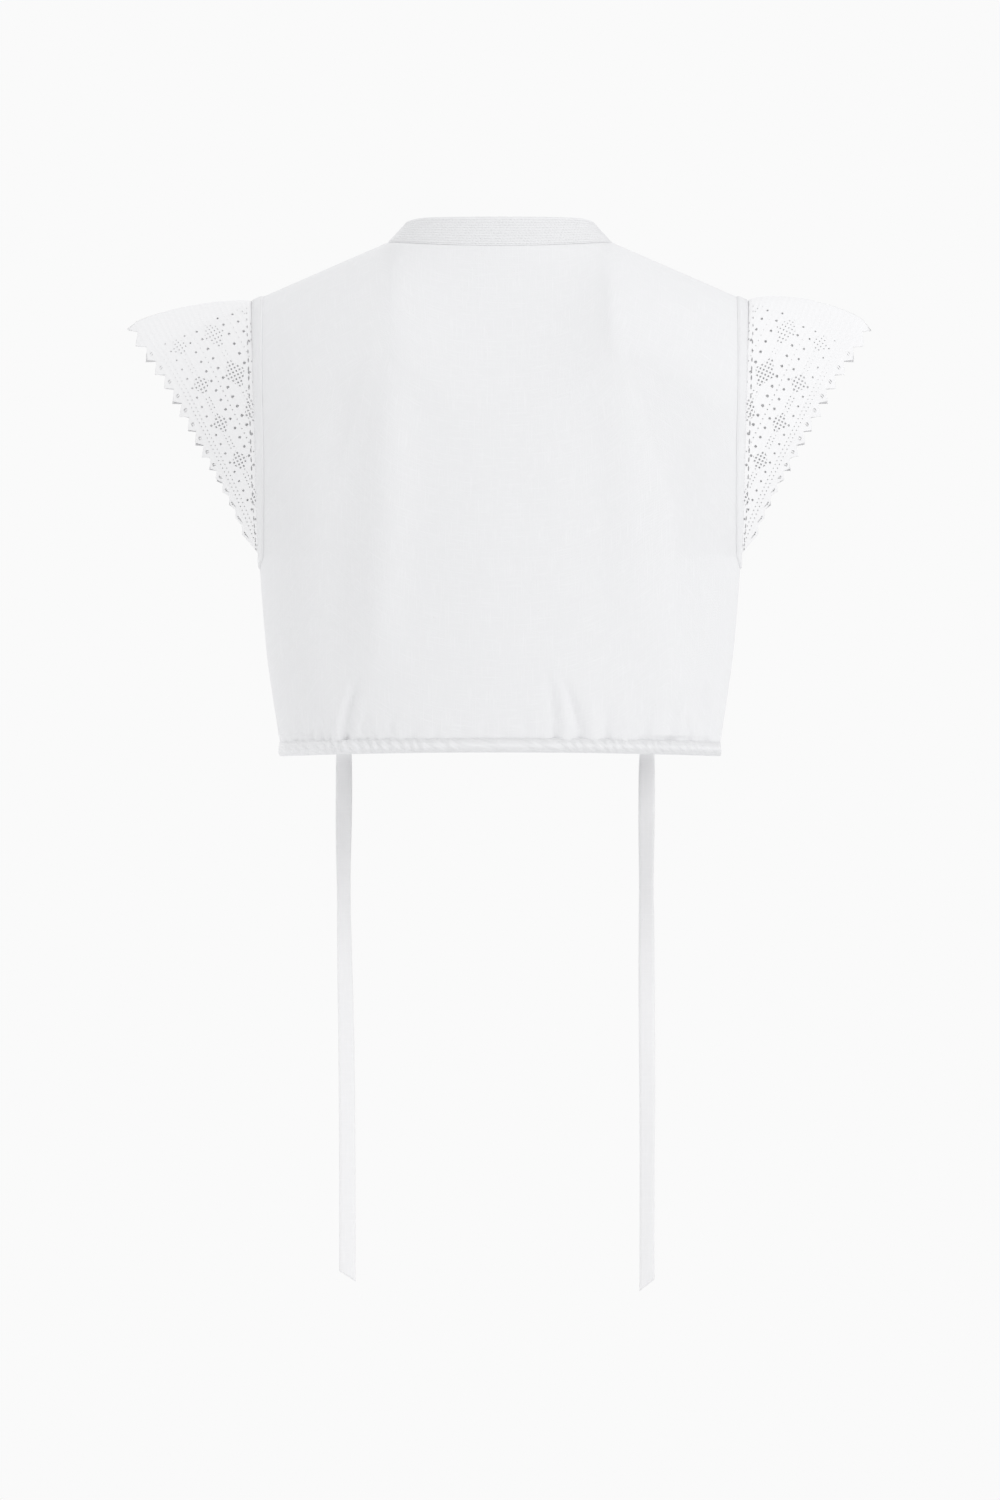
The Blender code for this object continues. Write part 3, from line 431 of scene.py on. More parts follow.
# Folds of the back, in millimetres: foot and top of each fold's line, its bow, half width and height,
# below 0 for a trough. The broad ones hang from the shoulders, and the others rise from the casing.
BACK_FOLDS = (
    {"x0": -97, "z0": -330, "x1": -84, "z1": -48, "bow": 7, "half": 17, "height": 4.6, "foot": 0.2, "top": 0.35},
    {"x0": -128, "z0": -350, "x1": -122, "z1": -62, "bow": 3, "half": 20, "height": -3.6, "foot": 0.25, "top": 0.3},
    {"x0": 98, "z0": -300, "x1": 84, "z1": -60, "bow": 4, "half": 15, "height": 1.6, "foot": 0.3, "top": 0.35},
    {"x0": 72, "z0": -290, "x1": 60, "z1": -80, "bow": 3, "half": 18, "height": -1.2, "foot": 0.3, "top": 0.35},
    {"x0": 132, "z0": -300, "x1": 142, "z1": -75, "bow": -3, "half": 14, "height": -1.6, "foot": 0.3, "top": 0.4},
    {"x0": -10, "z0": -360, "x1": -22, "z1": -120, "bow": 5, "half": 30, "height": 1.2, "foot": 0.3, "top": 0.4},
    {"x0": 128, "z0": -366, "x1": 112, "z1": -255, "bow": 5, "half": 17, "height": 2.3, "foot": 0.0, "top": 0.7},
    {"x0": -150, "z0": -366, "x1": -152, "z1": -250, "bow": -4, "half": 11, "height": -2.0, "foot": 0.0, "top": 0.7},
    {"x0": -115.5, "z0": -370, "x1": -100.5, "z1": -310, "bow": -3.4, "half": 3.6, "height": -3.4, "foot": 0.0, "top": 0.6},
    {"x0": -122, "z0": -370, "x1": -108, "z1": -318, "bow": -3, "half": 4.0, "height": 1.5, "foot": 0.0, "top": 0.6},
    {"x0": -151.5, "z0": -370, "x1": -154, "z1": -338, "bow": 0, "half": 2.6, "height": -1.4, "foot": 0.0, "top": 0.7},
    {"x0": -142, "z0": -370, "x1": -147, "z1": -340, "bow": 1, "half": 2.7, "height": -1.5, "foot": 0.0, "top": 0.7},
    {"x0": -134, "z0": -370, "x1": -132, "z1": -336, "bow": 0, "half": 3.0, "height": -1.6, "foot": 0.0, "top": 0.7},
    {"x0": -127, "z0": -370, "x1": -126, "z1": -344, "bow": 0, "half": 2.4, "height": -1.2, "foot": 0.0, "top": 0.7},
    {"x0": -104, "z0": -370, "x1": -98.5, "z1": -345, "bow": -1, "half": 2.4, "height": -1.3, "foot": 0.0, "top": 0.7},
    {"x0": -98, "z0": -370, "x1": -97, "z1": -350, "bow": 0, "half": 2.2, "height": -1.1, "foot": 0.0, "top": 0.7},
    {"x0": -83, "z0": -370, "x1": -75, "z1": -342, "bow": -2, "half": 2.6, "height": -1.4, "foot": 0.0, "top": 0.7},
    {"x0": -66, "z0": -370, "x1": -61, "z1": -352, "bow": 0, "half": 2.8, "height": -0.8, "foot": 0.0, "top": 0.8},
    {"x0": -48, "z0": -370, "x1": -46, "z1": -354, "bow": 0, "half": 3.0, "height": -0.6, "foot": 0.0, "top": 0.8},
    {"x0": -30, "z0": -370, "x1": -29, "z1": -350, "bow": 0, "half": 3.0, "height": -0.6, "foot": 0.0, "top": 0.8},
    {"x0": -12, "z0": -369, "x1": -11, "z1": -349, "bow": 0, "half": 3.0, "height": -0.7, "foot": 0.0, "top": 0.8},
    {"x0": 4, "z0": -369, "x1": 3, "z1": -352, "bow": 0, "half": 2.8, "height": -0.6, "foot": 0.0, "top": 0.8},
    {"x0": 20, "z0": -369, "x1": 17, "z1": -340, "bow": 0, "half": 3.2, "height": -0.9, "foot": 0.0, "top": 0.8},
    {"x0": 41, "z0": -370, "x1": 31, "z1": -304, "bow": 3, "half": 3.4, "height": -2.2, "foot": 0.0, "top": 0.7},
    {"x0": 50, "z0": -370, "x1": 40, "z1": -318, "bow": 2, "half": 4.6, "height": 1.3, "foot": 0.0, "top": 0.7},
    {"x0": 60.5, "z0": -370, "x1": 44, "z1": -316, "bow": 2.4, "half": 3.2, "height": -2.5, "foot": 0.0, "top": 0.6},
    {"x0": 70, "z0": -370, "x1": 61, "z1": -322, "bow": 2, "half": 4.4, "height": 1.1, "foot": 0.0, "top": 0.7},
    {"x0": 80, "z0": -370, "x1": 88, "z1": -334, "bow": -3, "half": 3.3, "height": -1.9, "foot": 0.0, "top": 0.6},
    {"x0": 93, "z0": -370, "x1": 92, "z1": -326, "bow": 2, "half": 4.5, "height": 0.9, "foot": 0.0, "top": 0.7},
    {"x0": 108, "z0": -370, "x1": 117, "z1": -336, "bow": -1.5, "half": 3.0, "height": -1.6, "foot": 0.0, "top": 0.7},
    {"x0": 127, "z0": -370, "x1": 136, "z1": -326, "bow": -2, "half": 3.4, "height": -2.0, "foot": 0.0, "top": 0.6},
    {"x0": 142, "z0": -370, "x1": 137, "z1": -344, "bow": 0, "half": 2.8, "height": -1.4, "foot": 0.0, "top": 0.7},
    {"x0": 155, "z0": -370, "x1": 150, "z1": -316, "bow": 1, "half": 4.2, "height": -1.8, "foot": 0.0, "top": 0.6},
    {"x0": 161, "z0": -370, "x1": 168, "z1": -312, "bow": 0, "half": 4.0, "height": 1.2, "foot": 0.0, "top": 0.6},
)
PUCKER_PITCH = 5.7
PUCKER_RISE = 13.0


def body(z, value):
    """A body section's value at heights."""
    return through(BODY_SECTIONS, "z", z, value)


def hem_height(spread):
    """The hem is a little higher at the centre than at the sides."""
    return HEM_Z + HEM_CENTRE_LIFT * (1 - spread * spread)


def column_spread(column, z):
    """How far out a column lies, as a share of the half width: at the top the neck takes the first
    columns and the shoulder the rest, and below the armhole all are even round the section."""
    even = np.sin(0.5 * np.pi * column / WHOLE_COLUMNS) ** (2 / SECTION_POWER)
    neck_share = NECK_HALF_WIDTH / SHOULDER_X
    start = math.asin(neck_share ** (SECTION_POWER / 2)) / (0.5 * math.pi)
    part = start + (1 - start) * (column - NECK_COLUMNS) / (WHOLE_COLUMNS - NECK_COLUMNS)
    shoulder = np.sin(0.5 * np.pi * np.clip(part, 0, 1)) ** (2 / SECTION_POWER)
    top = np.where(column <= NECK_COLUMNS, neck_share * np.sin(0.5 * np.pi * column / NECK_COLUMNS), shoulder)
    fall = np.clip((SPREAD_EVEN_BELOW - z) / (SPREAD_EVEN_BELOW - UNDERARM_Z), 0, 1)
    return top + (even - top) * fall * fall * (3 - 2 * fall)


shoulder_end_z = NECK_RISE - (SHOULDER_X - NECK_HALF_WIDTH) * SHOULDER_SLOPE
armhole_middle = 0.5 * (shoulder_end_z + UNDERARM_Z)


def panel_form(column, fall, side):
    """The cloth's form without folds, on the right half of the body. The fall counts rows: a quarter
    turn of the shoulder's roll, then a sine down to the underarm, then even steps to the casing. A
    section's depth is a superellipse from the body's depth at its centre to the armhole's at its edge."""
    x_top = SHOULDER_X * column_spread(column, 0.0)
    in_neck = column < NECK_COLUMNS
    around = 0.5 * np.pi * np.clip(column / NECK_COLUMNS, 0, 1)
    neck_mix = (x_top / NECK_HALF_WIDTH) ** 2
    out_mix = np.clip((x_top - NECK_HALF_WIDTH) / (SHOULDER_X - NECK_HALF_WIDTH), 0, 1)
    if side == "back":
        neck_depth, neck_z = NECK_BACK * np.cos(around), NECK_RISE * np.sin(around) ** 2
    else:
        neck_depth = NECK_FRONT * np.cos(around)
        neck_z = NECK_RISE - NECK_DROP * np.cos(around) ** NECK_DROP_CURVE
    top_depth = np.where(in_neck, neck_depth, 0.0)
    top_z = np.where(in_neck, neck_z, NECK_RISE - (x_top - NECK_HALF_WIDTH) * SHOULDER_SLOPE)
    roll_neck = ROLL_AT_NECK_SIDE[side]
    roll = np.where(in_neck, ROLL_AT_CENTRE[side] + (roll_neck - ROLL_AT_CENTRE[side]) * neck_mix,
                    roll_neck + (0.5 * (shoulder_end_z - UNDERARM_Z) - roll_neck) * out_mix)
    rounder = ROUND_AT_NECK_SIDE[side]
    mix = np.where(in_neck, neck_mix * rounder, rounder + (1 - rounder) * out_mix ** ROUND_SHOULDER_POWER)
    turn = 0.5 * np.pi * np.clip(fall / ROLL_ROWS, 0, 1)
    lower = 0.5 * np.pi * np.clip((fall - ROLL_ROWS) / ARMHOLE_ROWS, 0, 1)
    part = np.clip((fall - ROLL_ROWS - ARMHOLE_ROWS) / SKIRT_ROWS, 0, 1)
    rolled = top_z - roll * (1 - np.cos(turn))
    end = hem_height(column_spread(column, UNDERARM_Z)) + CASING_HEIGHT - CASING_TUCK
    z = np.where(fall <= ROLL_ROWS, rolled,
                 np.where(part > 0, UNDERARM_Z + (end - UNDERARM_Z) * part,
                          (top_z - roll) + (UNDERARM_Z - top_z + roll) * np.sin(lower)))
    spread = column_spread(column, z)
    reach = np.clip((armhole_middle - z) / (armhole_middle - UNDERARM_Z), 0, 1)
    edge = ARMHOLE_DEPTH[side] * np.sqrt(1 - reach * reach)
    n = SECTION_POWER
    depth = (body(z, side) ** n * np.clip(1 - spread ** n, 0, 1) + edge ** n * spread ** n) ** (1 / n)
    t = 1 - np.cos(turn)
    soft = 1 - (1 - t) ** ROLL_CENTRE_POWER
    round_over = np.sqrt(np.clip(1 - (1 - t) ** 2, 0, 1))
    depth = np.where(fall < ROLL_ROWS, top_depth + (depth - top_depth) * (soft + (round_over - soft) * mix), depth)
    sign = -1 if side == "back" else 1
    return np.stack([body(z, "half") * spread, sign * depth, z], -1)


def outward(points, flip):
    """The unit normals of a grid of points, from the differences along its rows and columns."""
    normals = np.cross(np.gradient(points, axis=1), np.gradient(points, axis=0))
    normals *= -1 if flip else 1
    return normals / np.maximum(np.linalg.norm(normals, axis=-1, keepdims=True), 1e-12)


def folded(points, folds, pucker_sizes):
    """How far the cloth stands out at each point, in metres: each fold is a bell curve across its
    bowed line, fading at its foot and top, and short slanting puckers die away above the casing."""
    x, z = points[..., 0] / MM, points[..., 2] / MM
    height = np.zeros_like(x)
    for fold in folds:
        s = (z - fold["z0"]) / (fold["z1"] - fold["z0"])
        line = fold["x0"] + (fold["x1"] - fold["x0"]) * s + 4 * fold["bow"] * s * (1 - s)
        foot = np.clip((s + 0.02) / max(fold["foot"], 0.02), 0, 1)
        top = np.clip((1 - s) / max(fold["top"], 0.02), 0, 1)
        fade = foot * foot * (3 - 2 * foot) * top * top * (3 - 2 * top)
        height += fold["height"] * np.exp(-((x - line) / fold["half"]) ** 2) * fade
    above = z - (hem_height(x / 164) + CASING_HEIGHT) / MM
    near = np.exp(-np.clip(above, 0, None) / (0.45 * PUCKER_RISE))
    across = np.sqrt((points[..., 0] ** 2) + (0.55 * points[..., 1]) ** 2) / MM * np.sign(x + 1e-9)
    uneven = np.interp(x, pucker_sizes[0], pucker_sizes[1])
    wander = 0.9 * np.sin(0.21 * x + 1.0) + 0.7 * np.sin(0.097 * x)
    wave = np.sin(2 * np.pi * (across + 0.35 * above) / PUCKER_PITCH + wander)
    height += uneven * near * wave
    return height * MM


def cloth_lengths(points):
    """A cloth map in millimetres: the mean distance walked along the rows and down the columns."""
    along = np.linalg.norm(np.diff(points, axis=1), axis=-1)
    down = np.linalg.norm(np.diff(points, axis=0), axis=-1)
    u = np.concatenate([np.zeros((len(points), 1)), np.cumsum(along, axis=1)], axis=1)
    u -= u[:, u.shape[1] // 2][:, None]
    v = np.concatenate([np.zeros((1, points.shape[1])), np.cumsum(down, axis=0)], axis=0)
    return np.stack([u, v], -1) / MM


def cloth_wall(made, wall):
    """Gives a cloth piece its thickness, inwards from the face that was worked out."""
    thick = made.modifiers.new("cloth thickness", "SOLIDIFY")
    thick.thickness = wall
    thick.offset = -1.0
    thick.use_even_offset = False
    return made


cotton = cloth_material("slubby cotton", COTTON_COLOUR, 1.9, 0.6, 0.8, FLECK_COLOUR)
BACK_PUCKERS = ((-165, -150, -120, -95, -70, -40, 0, 40, 70, 110, 150, 165),
                (0.35, 0.8, 0.75, 0.7, 0.45, 0.3, 0.28, 0.4, 0.5, 0.45, 0.5, 0.3))
even_drop = np.arcsin(np.linspace(0, 1, 34)[1:]) / (0.5 * np.pi)
falls = np.concatenate([np.linspace(0, ROLL_ROWS, 44), ROLL_ROWS + ARMHOLE_ROWS * even_drop,
                        ROLL_ROWS + ARMHOLE_ROWS + SKIRT_ROWS * np.linspace(0, 1, 84)[1:] ** 0.86])
half_columns = np.linspace(0, WHOLE_COLUMNS, 106)
column_grid, fall_grid = np.meshgrid(half_columns, falls)
right_half = panel_form(column_grid, fall_grid, "back")
left_half = right_half[:, :0:-1] * np.array([-1, 1, 1])
back_form = np.concatenate([left_half, right_half], axis=1)
whole_columns = np.concatenate([-half_columns[:0:-1], half_columns])
near_corner = np.exp(-((np.abs(whole_columns) - NECK_COLUMNS) / CORNER_REACH) ** 2)
below_edge = np.clip(np.arange(len(falls)) / CORNER_ROWS, 0, 1) * np.clip(2 - falls / ROLL_ROWS, 0, 1)
easing = (below_edge[:, None] * near_corner[None])[:, 1:-1, None]
for _ in range(CORNER_ROUNDS):
    mean = 0.5 * (back_form[:, 2:] + back_form[:, :-2])
    back_form[:, 1:-1] += 0.5 * easing * (mean - back_form[:, 1:-1])
back_out = outward(back_form, flip=True)
back_points = back_form + back_out * folded(back_form, BACK_FOLDS, BACK_PUCKERS)[..., None]
back = piece("back_panel", back_points, quads(*back_points.shape[:2])[:, ::-1], cotton,
             cloth_lengths(back_form))
cloth_wall(back, PANEL_CLOTH)
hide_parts("back")

# Front panels
# Two fronts of the same cloth meet under the button band. They are gathered into their casings as
# the back is, and are plain apart from that.
FRONT_FOLD = {"count": 11, "first": 26, "last": 158, "rise": 46, "half": 3.4, "height": -1.7}
FRONT_PUCKERS = ((0, 14, 30, 150, 165), (0.0, 0.0, 0.5, 0.5, 0.2))


def front_folds(mirror, shift):
    """Gathers spaced across a front, each leaning and rising a little differently from the last."""
    n = np.arange(FRONT_FOLD["count"])
    feet = np.linspace(FRONT_FOLD["first"], FRONT_FOLD["last"], len(n)) + 3 * np.sin(2.1 * n + shift)
    lean = 6 * np.sin(1.3 * n + shift)
    rise = FRONT_FOLD["rise"] * (0.8 + 0.4 * np.sin(2.7 * n + 2 * shift))
    size = FRONT_FOLD["height"] * (0.75 + 0.35 * np.sin(1.9 * n + shift))
    gathers = [{"x0": f, "z0": -370, "x1": f + l, "z1": -370 + r, "bow": 0.2 * l, "half": FRONT_FOLD["half"],
                "height": h, "foot": 0.0, "top": 0.7} for f, l, r, h in zip(feet, lean, rise, size)]
    broad = [{"x0": 112, "z0": -340, "x1": 96, "z1": -80, "bow": 6, "half": 20, "height": 3.0, "foot": 0.3, "top": 0.4},
             {"x0": 66, "z0": -340, "x1": 62, "z1": -140, "bow": -4, "half": 18, "height": -1.8, "foot": 0.3, "top": 0.4}]
    every = gathers + broad
    return [dict(f, x0=mirror * f["x0"], x1=mirror * f["x1"], bow=mirror * f["bow"]) for f in every]


front_form = panel_form(column_grid, fall_grid, "front")
front_outs = {}
front_grids = {}
for name, mirror, shift in (("front_right", 1, 0.4), ("front_left", -1, 2.2)):
    form = front_form * np.array([mirror, 1, 1])
    out = outward(form, flip=mirror < 0)
    sizes = (np.array(FRONT_PUCKERS[0]) * mirror, np.array(FRONT_PUCKERS[1]))
    if mirror < 0:
        sizes = (sizes[0][::-1], sizes[1][::-1])
    points = form + out * folded(form, front_folds(mirror, shift), sizes)[..., None]
    corners = quads(*points.shape[:2])
    made = piece(name + "_panel", points, corners if mirror > 0 else corners[:, ::-1], cotton,
                 cloth_lengths(form))
    cloth_wall(made, PANEL_CLOTH)
    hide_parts(name)
    front_grids[name], front_outs[name] = points, out

# Stand collar
# The collar is a band of the same cloth, two layers quilted with ten rows of topstitching and
# turned out along its top edge. It stands on the neck seam and closes beside the centre front.
COLLAR_HALF_WIDTH = 70 * MM
COLLAR_BACK = 47 * MM
COLLAR_FRONT = 61 * MM
COLLAR_TOP = 21.75 * MM
COLLAR_SIDE_DIP = 2.75 * MM
COLLAR_SIDE_DIP_POWER = 11
COLLAR_TOP_DROP = 58 * MM
COLLAR_START = 0.015
COLLAR_WALL = 1.7 * MM
COLLAR_OVERLAP = 11 * MM
COLLAR_STEPS = 330
COLLAR_FACE_ROWS = 74
STITCH_ROWS = (0.06, 0.15, 0.24, 0.335, 0.43, 0.525, 0.62, 0.715, 0.81, 0.905)
STITCH_GROOVE = 0.20 * MM
STITCH_LENGTH = 2.2 * MM
STITCH_PITCH = 2.75 * MM
THREAD = 0.34 * MM
THREAD_COLOUR = (0.83, 0.83, 0.84)


def collar_form(around, up):
    """The collar's outer face: straight lines from the neck seam's ellipse to the top edge's smaller
    one, whose height dips at the sides and falls towards the front with the neckline."""
    s, c = np.sin(around), np.cos(around)
    forward = np.clip(-c, 0, 1) ** NECK_DROP_CURVE
    low = np.stack([NECK_HALF_WIDTH * s, np.where(c >= 0, -NECK_BACK * c, -NECK_FRONT * c),
                    np.where(c >= 0, NECK_RISE * s * s, NECK_RISE - NECK_DROP * forward)], -1)
    back_top = COLLAR_TOP - COLLAR_SIDE_DIP * np.abs(s) ** COLLAR_SIDE_DIP_POWER
    high = np.stack([COLLAR_HALF_WIDTH * s, np.where(c >= 0, -COLLAR_BACK * c, -COLLAR_FRONT * c),
                     np.where(c >= 0, back_top, COLLAR_TOP - COLLAR_SIDE_DIP - COLLAR_TOP_DROP * forward)], -1)
    share = (COLLAR_START + (1 - COLLAR_START) * up)[..., None]
    return low + (high - low) * share


def sewn_line(line, out, pitch):
    """Places for stitches along a line of points: even steps of its length, with the line's
    direction and the cloth's outward normal at each."""
    run = np.concatenate([[0], np.cumsum(np.linalg.norm(np.diff(line, axis=0), axis=1))])
    at = np.arange(0.5 * pitch, run[-1], pitch)
    place = np.stack([np.interp(at, run, line[:, k]) for k in range(3)], -1)
    normal = np.stack([np.interp(at, run, out[:, k]) for k in range(3)], -1)
    ahead = np.stack([np.interp(at + 0.3 * pitch, run, line[:, k]) for k in range(3)], -1)
    behind = np.stack([np.interp(at - 0.3 * pitch, run, line[:, k]) for k in range(3)], -1)
    return place, ahead - behind, normal


def stitches(name, places, material, length=STITCH_LENGTH, thick=THREAD):
    """Thread stitches as one mesh: each is a four-sided spindle along its direction, narrow at both
    ends, and its ends sink into the cloth."""
    centre, along, out = (np.concatenate([p[k] for p in places]) for k in range(3))
    along = along / np.linalg.norm(along, axis=1, keepdims=True)
    side = np.cross(along, out)
    side /= np.linalg.norm(side, axis=1, keepdims=True)
    up = np.cross(side, along)
    t = np.array([-1.0, -0.55, 0.55, 1.0])
    radius = 0.5 * thick * np.array([0.3, 1.0, 1.0, 0.3])
    sink = thick * (0.28 - 0.75 * t ** 4)
    turn = 2 * np.pi * (np.arange(4) + 0.5) / 4
    ring = (centre[:, None, None] + along[:, None, None] * (0.5 * length * t)[None, :, None, None]
            + up[:, None, None] * (sink[:, None] + radius[:, None] * np.sin(turn))[None, ..., None]
            + side[:, None, None] * (radius[:, None] * np.cos(turn))[None, ..., None])
    one = np.concatenate([quads(4, 4, around=True)[:, ::-1], [[0, 1, 2, 3], [15, 14, 13, 12]]])
    first = np.arange(len(centre))[:, None, None] * 16
    return piece(name, ring, (one[None] + first).reshape(-1, 4), material)


thread = bpy.data.materials.new("sewing thread")
thread.use_nodes = True
thread_shader = thread.node_tree.nodes["Principled BSDF"]
thread_shader.inputs["Sheen Weight"].default_value = 0.1
thread_place = thread.node_tree.nodes.new("ShaderNodeTexCoord")
thread_noise = thread.node_tree.nodes.new("ShaderNodeTexNoise")
thread_noise.inputs["Scale"].default_value = 900
thread.node_tree.links.new(thread_place.outputs["Object"], thread_noise.inputs["Vector"])
thread_tint = thread.node_tree.nodes.new("ShaderNodeMix")
thread_tint.data_type = "RGBA"
thread_tint.inputs["A"].default_value = (*[0.95 * c for c in THREAD_COLOUR], 1)
thread_tint.inputs["B"].default_value = (*THREAD_COLOUR, 1)
thread.node_tree.links.new(thread_noise.outputs["Fac"], thread_tint.inputs["Factor"])
thread.node_tree.links.new(thread_tint.outputs["Result"], thread_shader.inputs["Base Color"])
thread_bump = thread.node_tree.nodes.new("ShaderNodeBump")
thread_bump.inputs["Distance"].default_value = 0.0001
thread.node_tree.links.new(thread_noise.outputs["Fac"], thread_bump.inputs["Height"])
thread.node_tree.links.new(thread_bump.outputs[0], thread_shader.inputs["Normal"])
thread_shader.inputs["Roughness"].default_value = 0.7

collar_start = -(math.pi - math.asin(COLLAR_OVERLAP / NECK_HALF_WIDTH))
collar_turns = np.linspace(collar_start, collar_start + 2 * math.pi - 0.004, COLLAR_STEPS)
face_up = np.linspace(0, 1, COLLAR_FACE_ROWS)
turn_grid, up_grid = np.meshgrid(collar_turns, face_up)
collar_face = collar_form(turn_grid, up_grid)
collar_out = outward(collar_face, flip=False)
grooves = np.exp(-((up_grid[..., None] - np.array(STITCH_ROWS)) / 0.016) ** 2).sum(-1)
swell = 0.10 * MM * np.sin(np.pi * up_grid) ** 0.5
puckered = 0.07 * MM * np.sin(210 * turn_grid + 3 * np.sin(9 * up_grid)) * np.sin(44 * up_grid)
collar_points = collar_face + collar_out * (swell + puckered - STITCH_GROOVE * grooves)[..., None]
top_over = [collar_points[-1] + (collar_face[-1] - collar_face[-2]) * lift - collar_out[-1] * COLLAR_WALL * share
            for lift, share in ((1.2, 0.18), (1.7, 0.5), (1.2, 0.82))]
inner = [collar_face[row] - collar_out[row] * COLLAR_WALL for row in range(COLLAR_FACE_ROWS - 1, -1, -6)]
under = [collar_face[0] - collar_out[0] * COLLAR_WALL * 0.5 - (collar_face[1] - collar_face[0]) * 0.8]
collar_loop = np.stack([*collar_points, *top_over, *inner, *under], 1)
steps, sides = collar_loop.shape[:2]
collar_faces = [list(q) for q in quads(steps, sides, around=True)]
collar_faces.append(list(range(sides))[::-1])
collar_faces.append(list(range((steps - 1) * sides, steps * sides)))
collar_uv = cloth_lengths(collar_loop)
collar = piece("stand_collar", collar_loop, [q[::-1] for q in collar_faces], cotton, collar_uv[..., ::-1])
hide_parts("collar")
rows = [sewn_line(collar_form(collar_turns, np.full(COLLAR_STEPS, up)),
                  outward(collar_form(*np.meshgrid(collar_turns, np.array([up, up + 0.02]))), flip=False)[0],
                  STITCH_PITCH) for up in STITCH_ROWS]
collar_thread = stitches("collar_stitches", rows, thread)

# Hem casings
# The gathered hem is turned up into a narrow tunnel for the drawstring, one along the back and one
# along each front, puckered all along and held by one row of stitches near its upper edge.
CASING_BULGE = 0.95
CASING_INSIDE = -1.9
CASING_STEPS = 560
CASING_PUCKER = 0.75
CASING_STITCH_DOWN = 0.10


def casing_form(column, down, out, side):
    """The casing's section carried along the hem: from the hem's outer line, down and out along the
    section's own normal."""
    spread = column_spread(column, UNDERARM_Z)
    top = hem_height(spread) + CASING_HEIGHT
    n = SECTION_POWER
    x = body(top, "half") * spread
    depth = body(top, side) * np.clip(1 - spread ** n, 0, 1) ** (1 / n)
    nx = spread ** (n - 1) / body(top, "half")
    ny = np.clip(1 - spread ** n, 0, 1) ** (1 - 1 / n) / body(top, side)
    size = np.hypot(nx, ny)
    sign = -1 if side == "back" else 1
    y = np.maximum(depth + out * ny / size, 0.15 * MM)
    return np.stack([x + out * nx / size, sign * y, top - down], -1)


section = np.linspace(0, 1, 17)
section_out = np.concatenate([CASING_BULGE * np.sin(np.pi * section) ** 0.55 + 0.15,
                              [-0.5, -1.3, CASING_INSIDE, CASING_INSIDE, CASING_INSIDE, CASING_INSIDE, -1.0]])
section_down = np.concatenate([section, [1.035, 1.02, 0.93, 0.6, 0.3, 0.05, -0.02]])
section_free = np.concatenate([np.clip(np.sin(np.pi * section), 0, 1) ** 0.6, [0.3, 0.1, 0, 0, 0, 0, 0]])
casings = (("casing_back", "back", 1, BACK_PUCKERS), ("casing_front_right", "front", 1, FRONT_PUCKERS),
           ("casing_front_left", "front", -1, FRONT_PUCKERS))
casing_rows = []
for name, side, mirror, pucker_sizes in casings:
    half = np.linspace(0, WHOLE_COLUMNS, CASING_STEPS // 2 + 1)
    column, out = np.meshgrid(half, section_out * MM, indexing="ij")
    down = np.broadcast_to(section_down * CASING_HEIGHT, column.shape)
    ring = casing_form(column, down, out, side)
    if side == "back":
        ring = np.concatenate([ring[:0:-1] * np.array([-1, 1, 1]), ring])
    else:
        ring = ring * np.array([mirror, 1, 1])
    x = ring[..., 0] / MM
    walked = np.sqrt(x ** 2 + (0.55 * ring[..., 1] / MM) ** 2) * np.sign(x + 1e-9)
    wander = 0.9 * np.sin(0.21 * x + 1.0) + 0.7 * np.sin(0.097 * x)
    wave = np.sin(2 * np.pi * (walked - 0.35 * section_down * CASING_HEIGHT / MM) / PUCKER_PITCH + wander)
    finer = np.sin(2 * np.pi * (walked - 0.9 * section_down * CASING_HEIGHT / MM) / 3.1 + 2 * wander)
    uneven = np.interp(np.abs(x) if side == "front" else x, pucker_sizes[0], pucker_sizes[1])
    lift = CASING_PUCKER * (0.35 + uneven) * (wave + 0.35 * finer) * section_free * MM
    middle = ring[:, 8:9]
    centre = ring[:, 20:21]
    way = (middle - centre) * np.array([1, 1, 0])
    way /= np.linalg.norm(way, axis=-1, keepdims=True)
    ring = ring + way * lift[..., None]
    faces = [list(q) for q in quads(*ring.shape[:2], around=True)]
    faces.append(list(range(ring.shape[1]))[::-1])
    faces.append(list(range((len(ring) - 1) * ring.shape[1], len(ring) * ring.shape[1])))
    if side == "front" and mirror > 0:
        faces = [f[::-1] for f in faces]
    made = piece(name + "_hem", ring, faces, cotton, cloth_lengths(ring)[..., ::-1])
    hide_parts(name)
    line = ring[:, 1] + way[:, 0] * 0.1 * MM
    sewn = stitches(name + "_stitches", [sewn_line(line, np.broadcast_to(way[:, 0], line.shape), STITCH_PITCH)],
                    thread)

# Armhole bands
# A narrow bias band of the same cloth is turned over each armhole's seam allowance and stitched down
# flat on the panels with two rows, one beside the lace and one along its inner edge.
BAND_WIDTH = 9.0 * MM
BAND_INSET = 0.2 * MM
BAND_LIFT = 0.15 * MM
BAND_WALL = 1.1 * MM
BAND_STEPS = 260
BAND_STITCH_SHARES = (0.14, 0.88)
BAND_ACROSS = np.array([0.0, 0.04, 0.14, 0.3, 0.5, 0.7, 0.88, 0.96, 1.0])
BAND_HEIGHTS = np.array([0.2, 0.6, 0.85, 1.0, 1.05, 1.0, 0.75, 0.45, 0.1])


def armhole_line(turn):
    """The right armhole's edge: 0 at the underarm, then up the back, over the shoulder, down the
    front; heights follow a cosine and depths a sine of the turn, and x is the body's half width."""
    z = armhole_middle - 0.5 * (shoulder_end_z - UNDERARM_Z) * np.cos(turn)
    widest = np.where(np.sin(turn) > 0, ARMHOLE_DEPTH["back"], ARMHOLE_DEPTH["front"])
    return np.stack([body(z, "half"), -widest * np.sin(turn), z], -1)


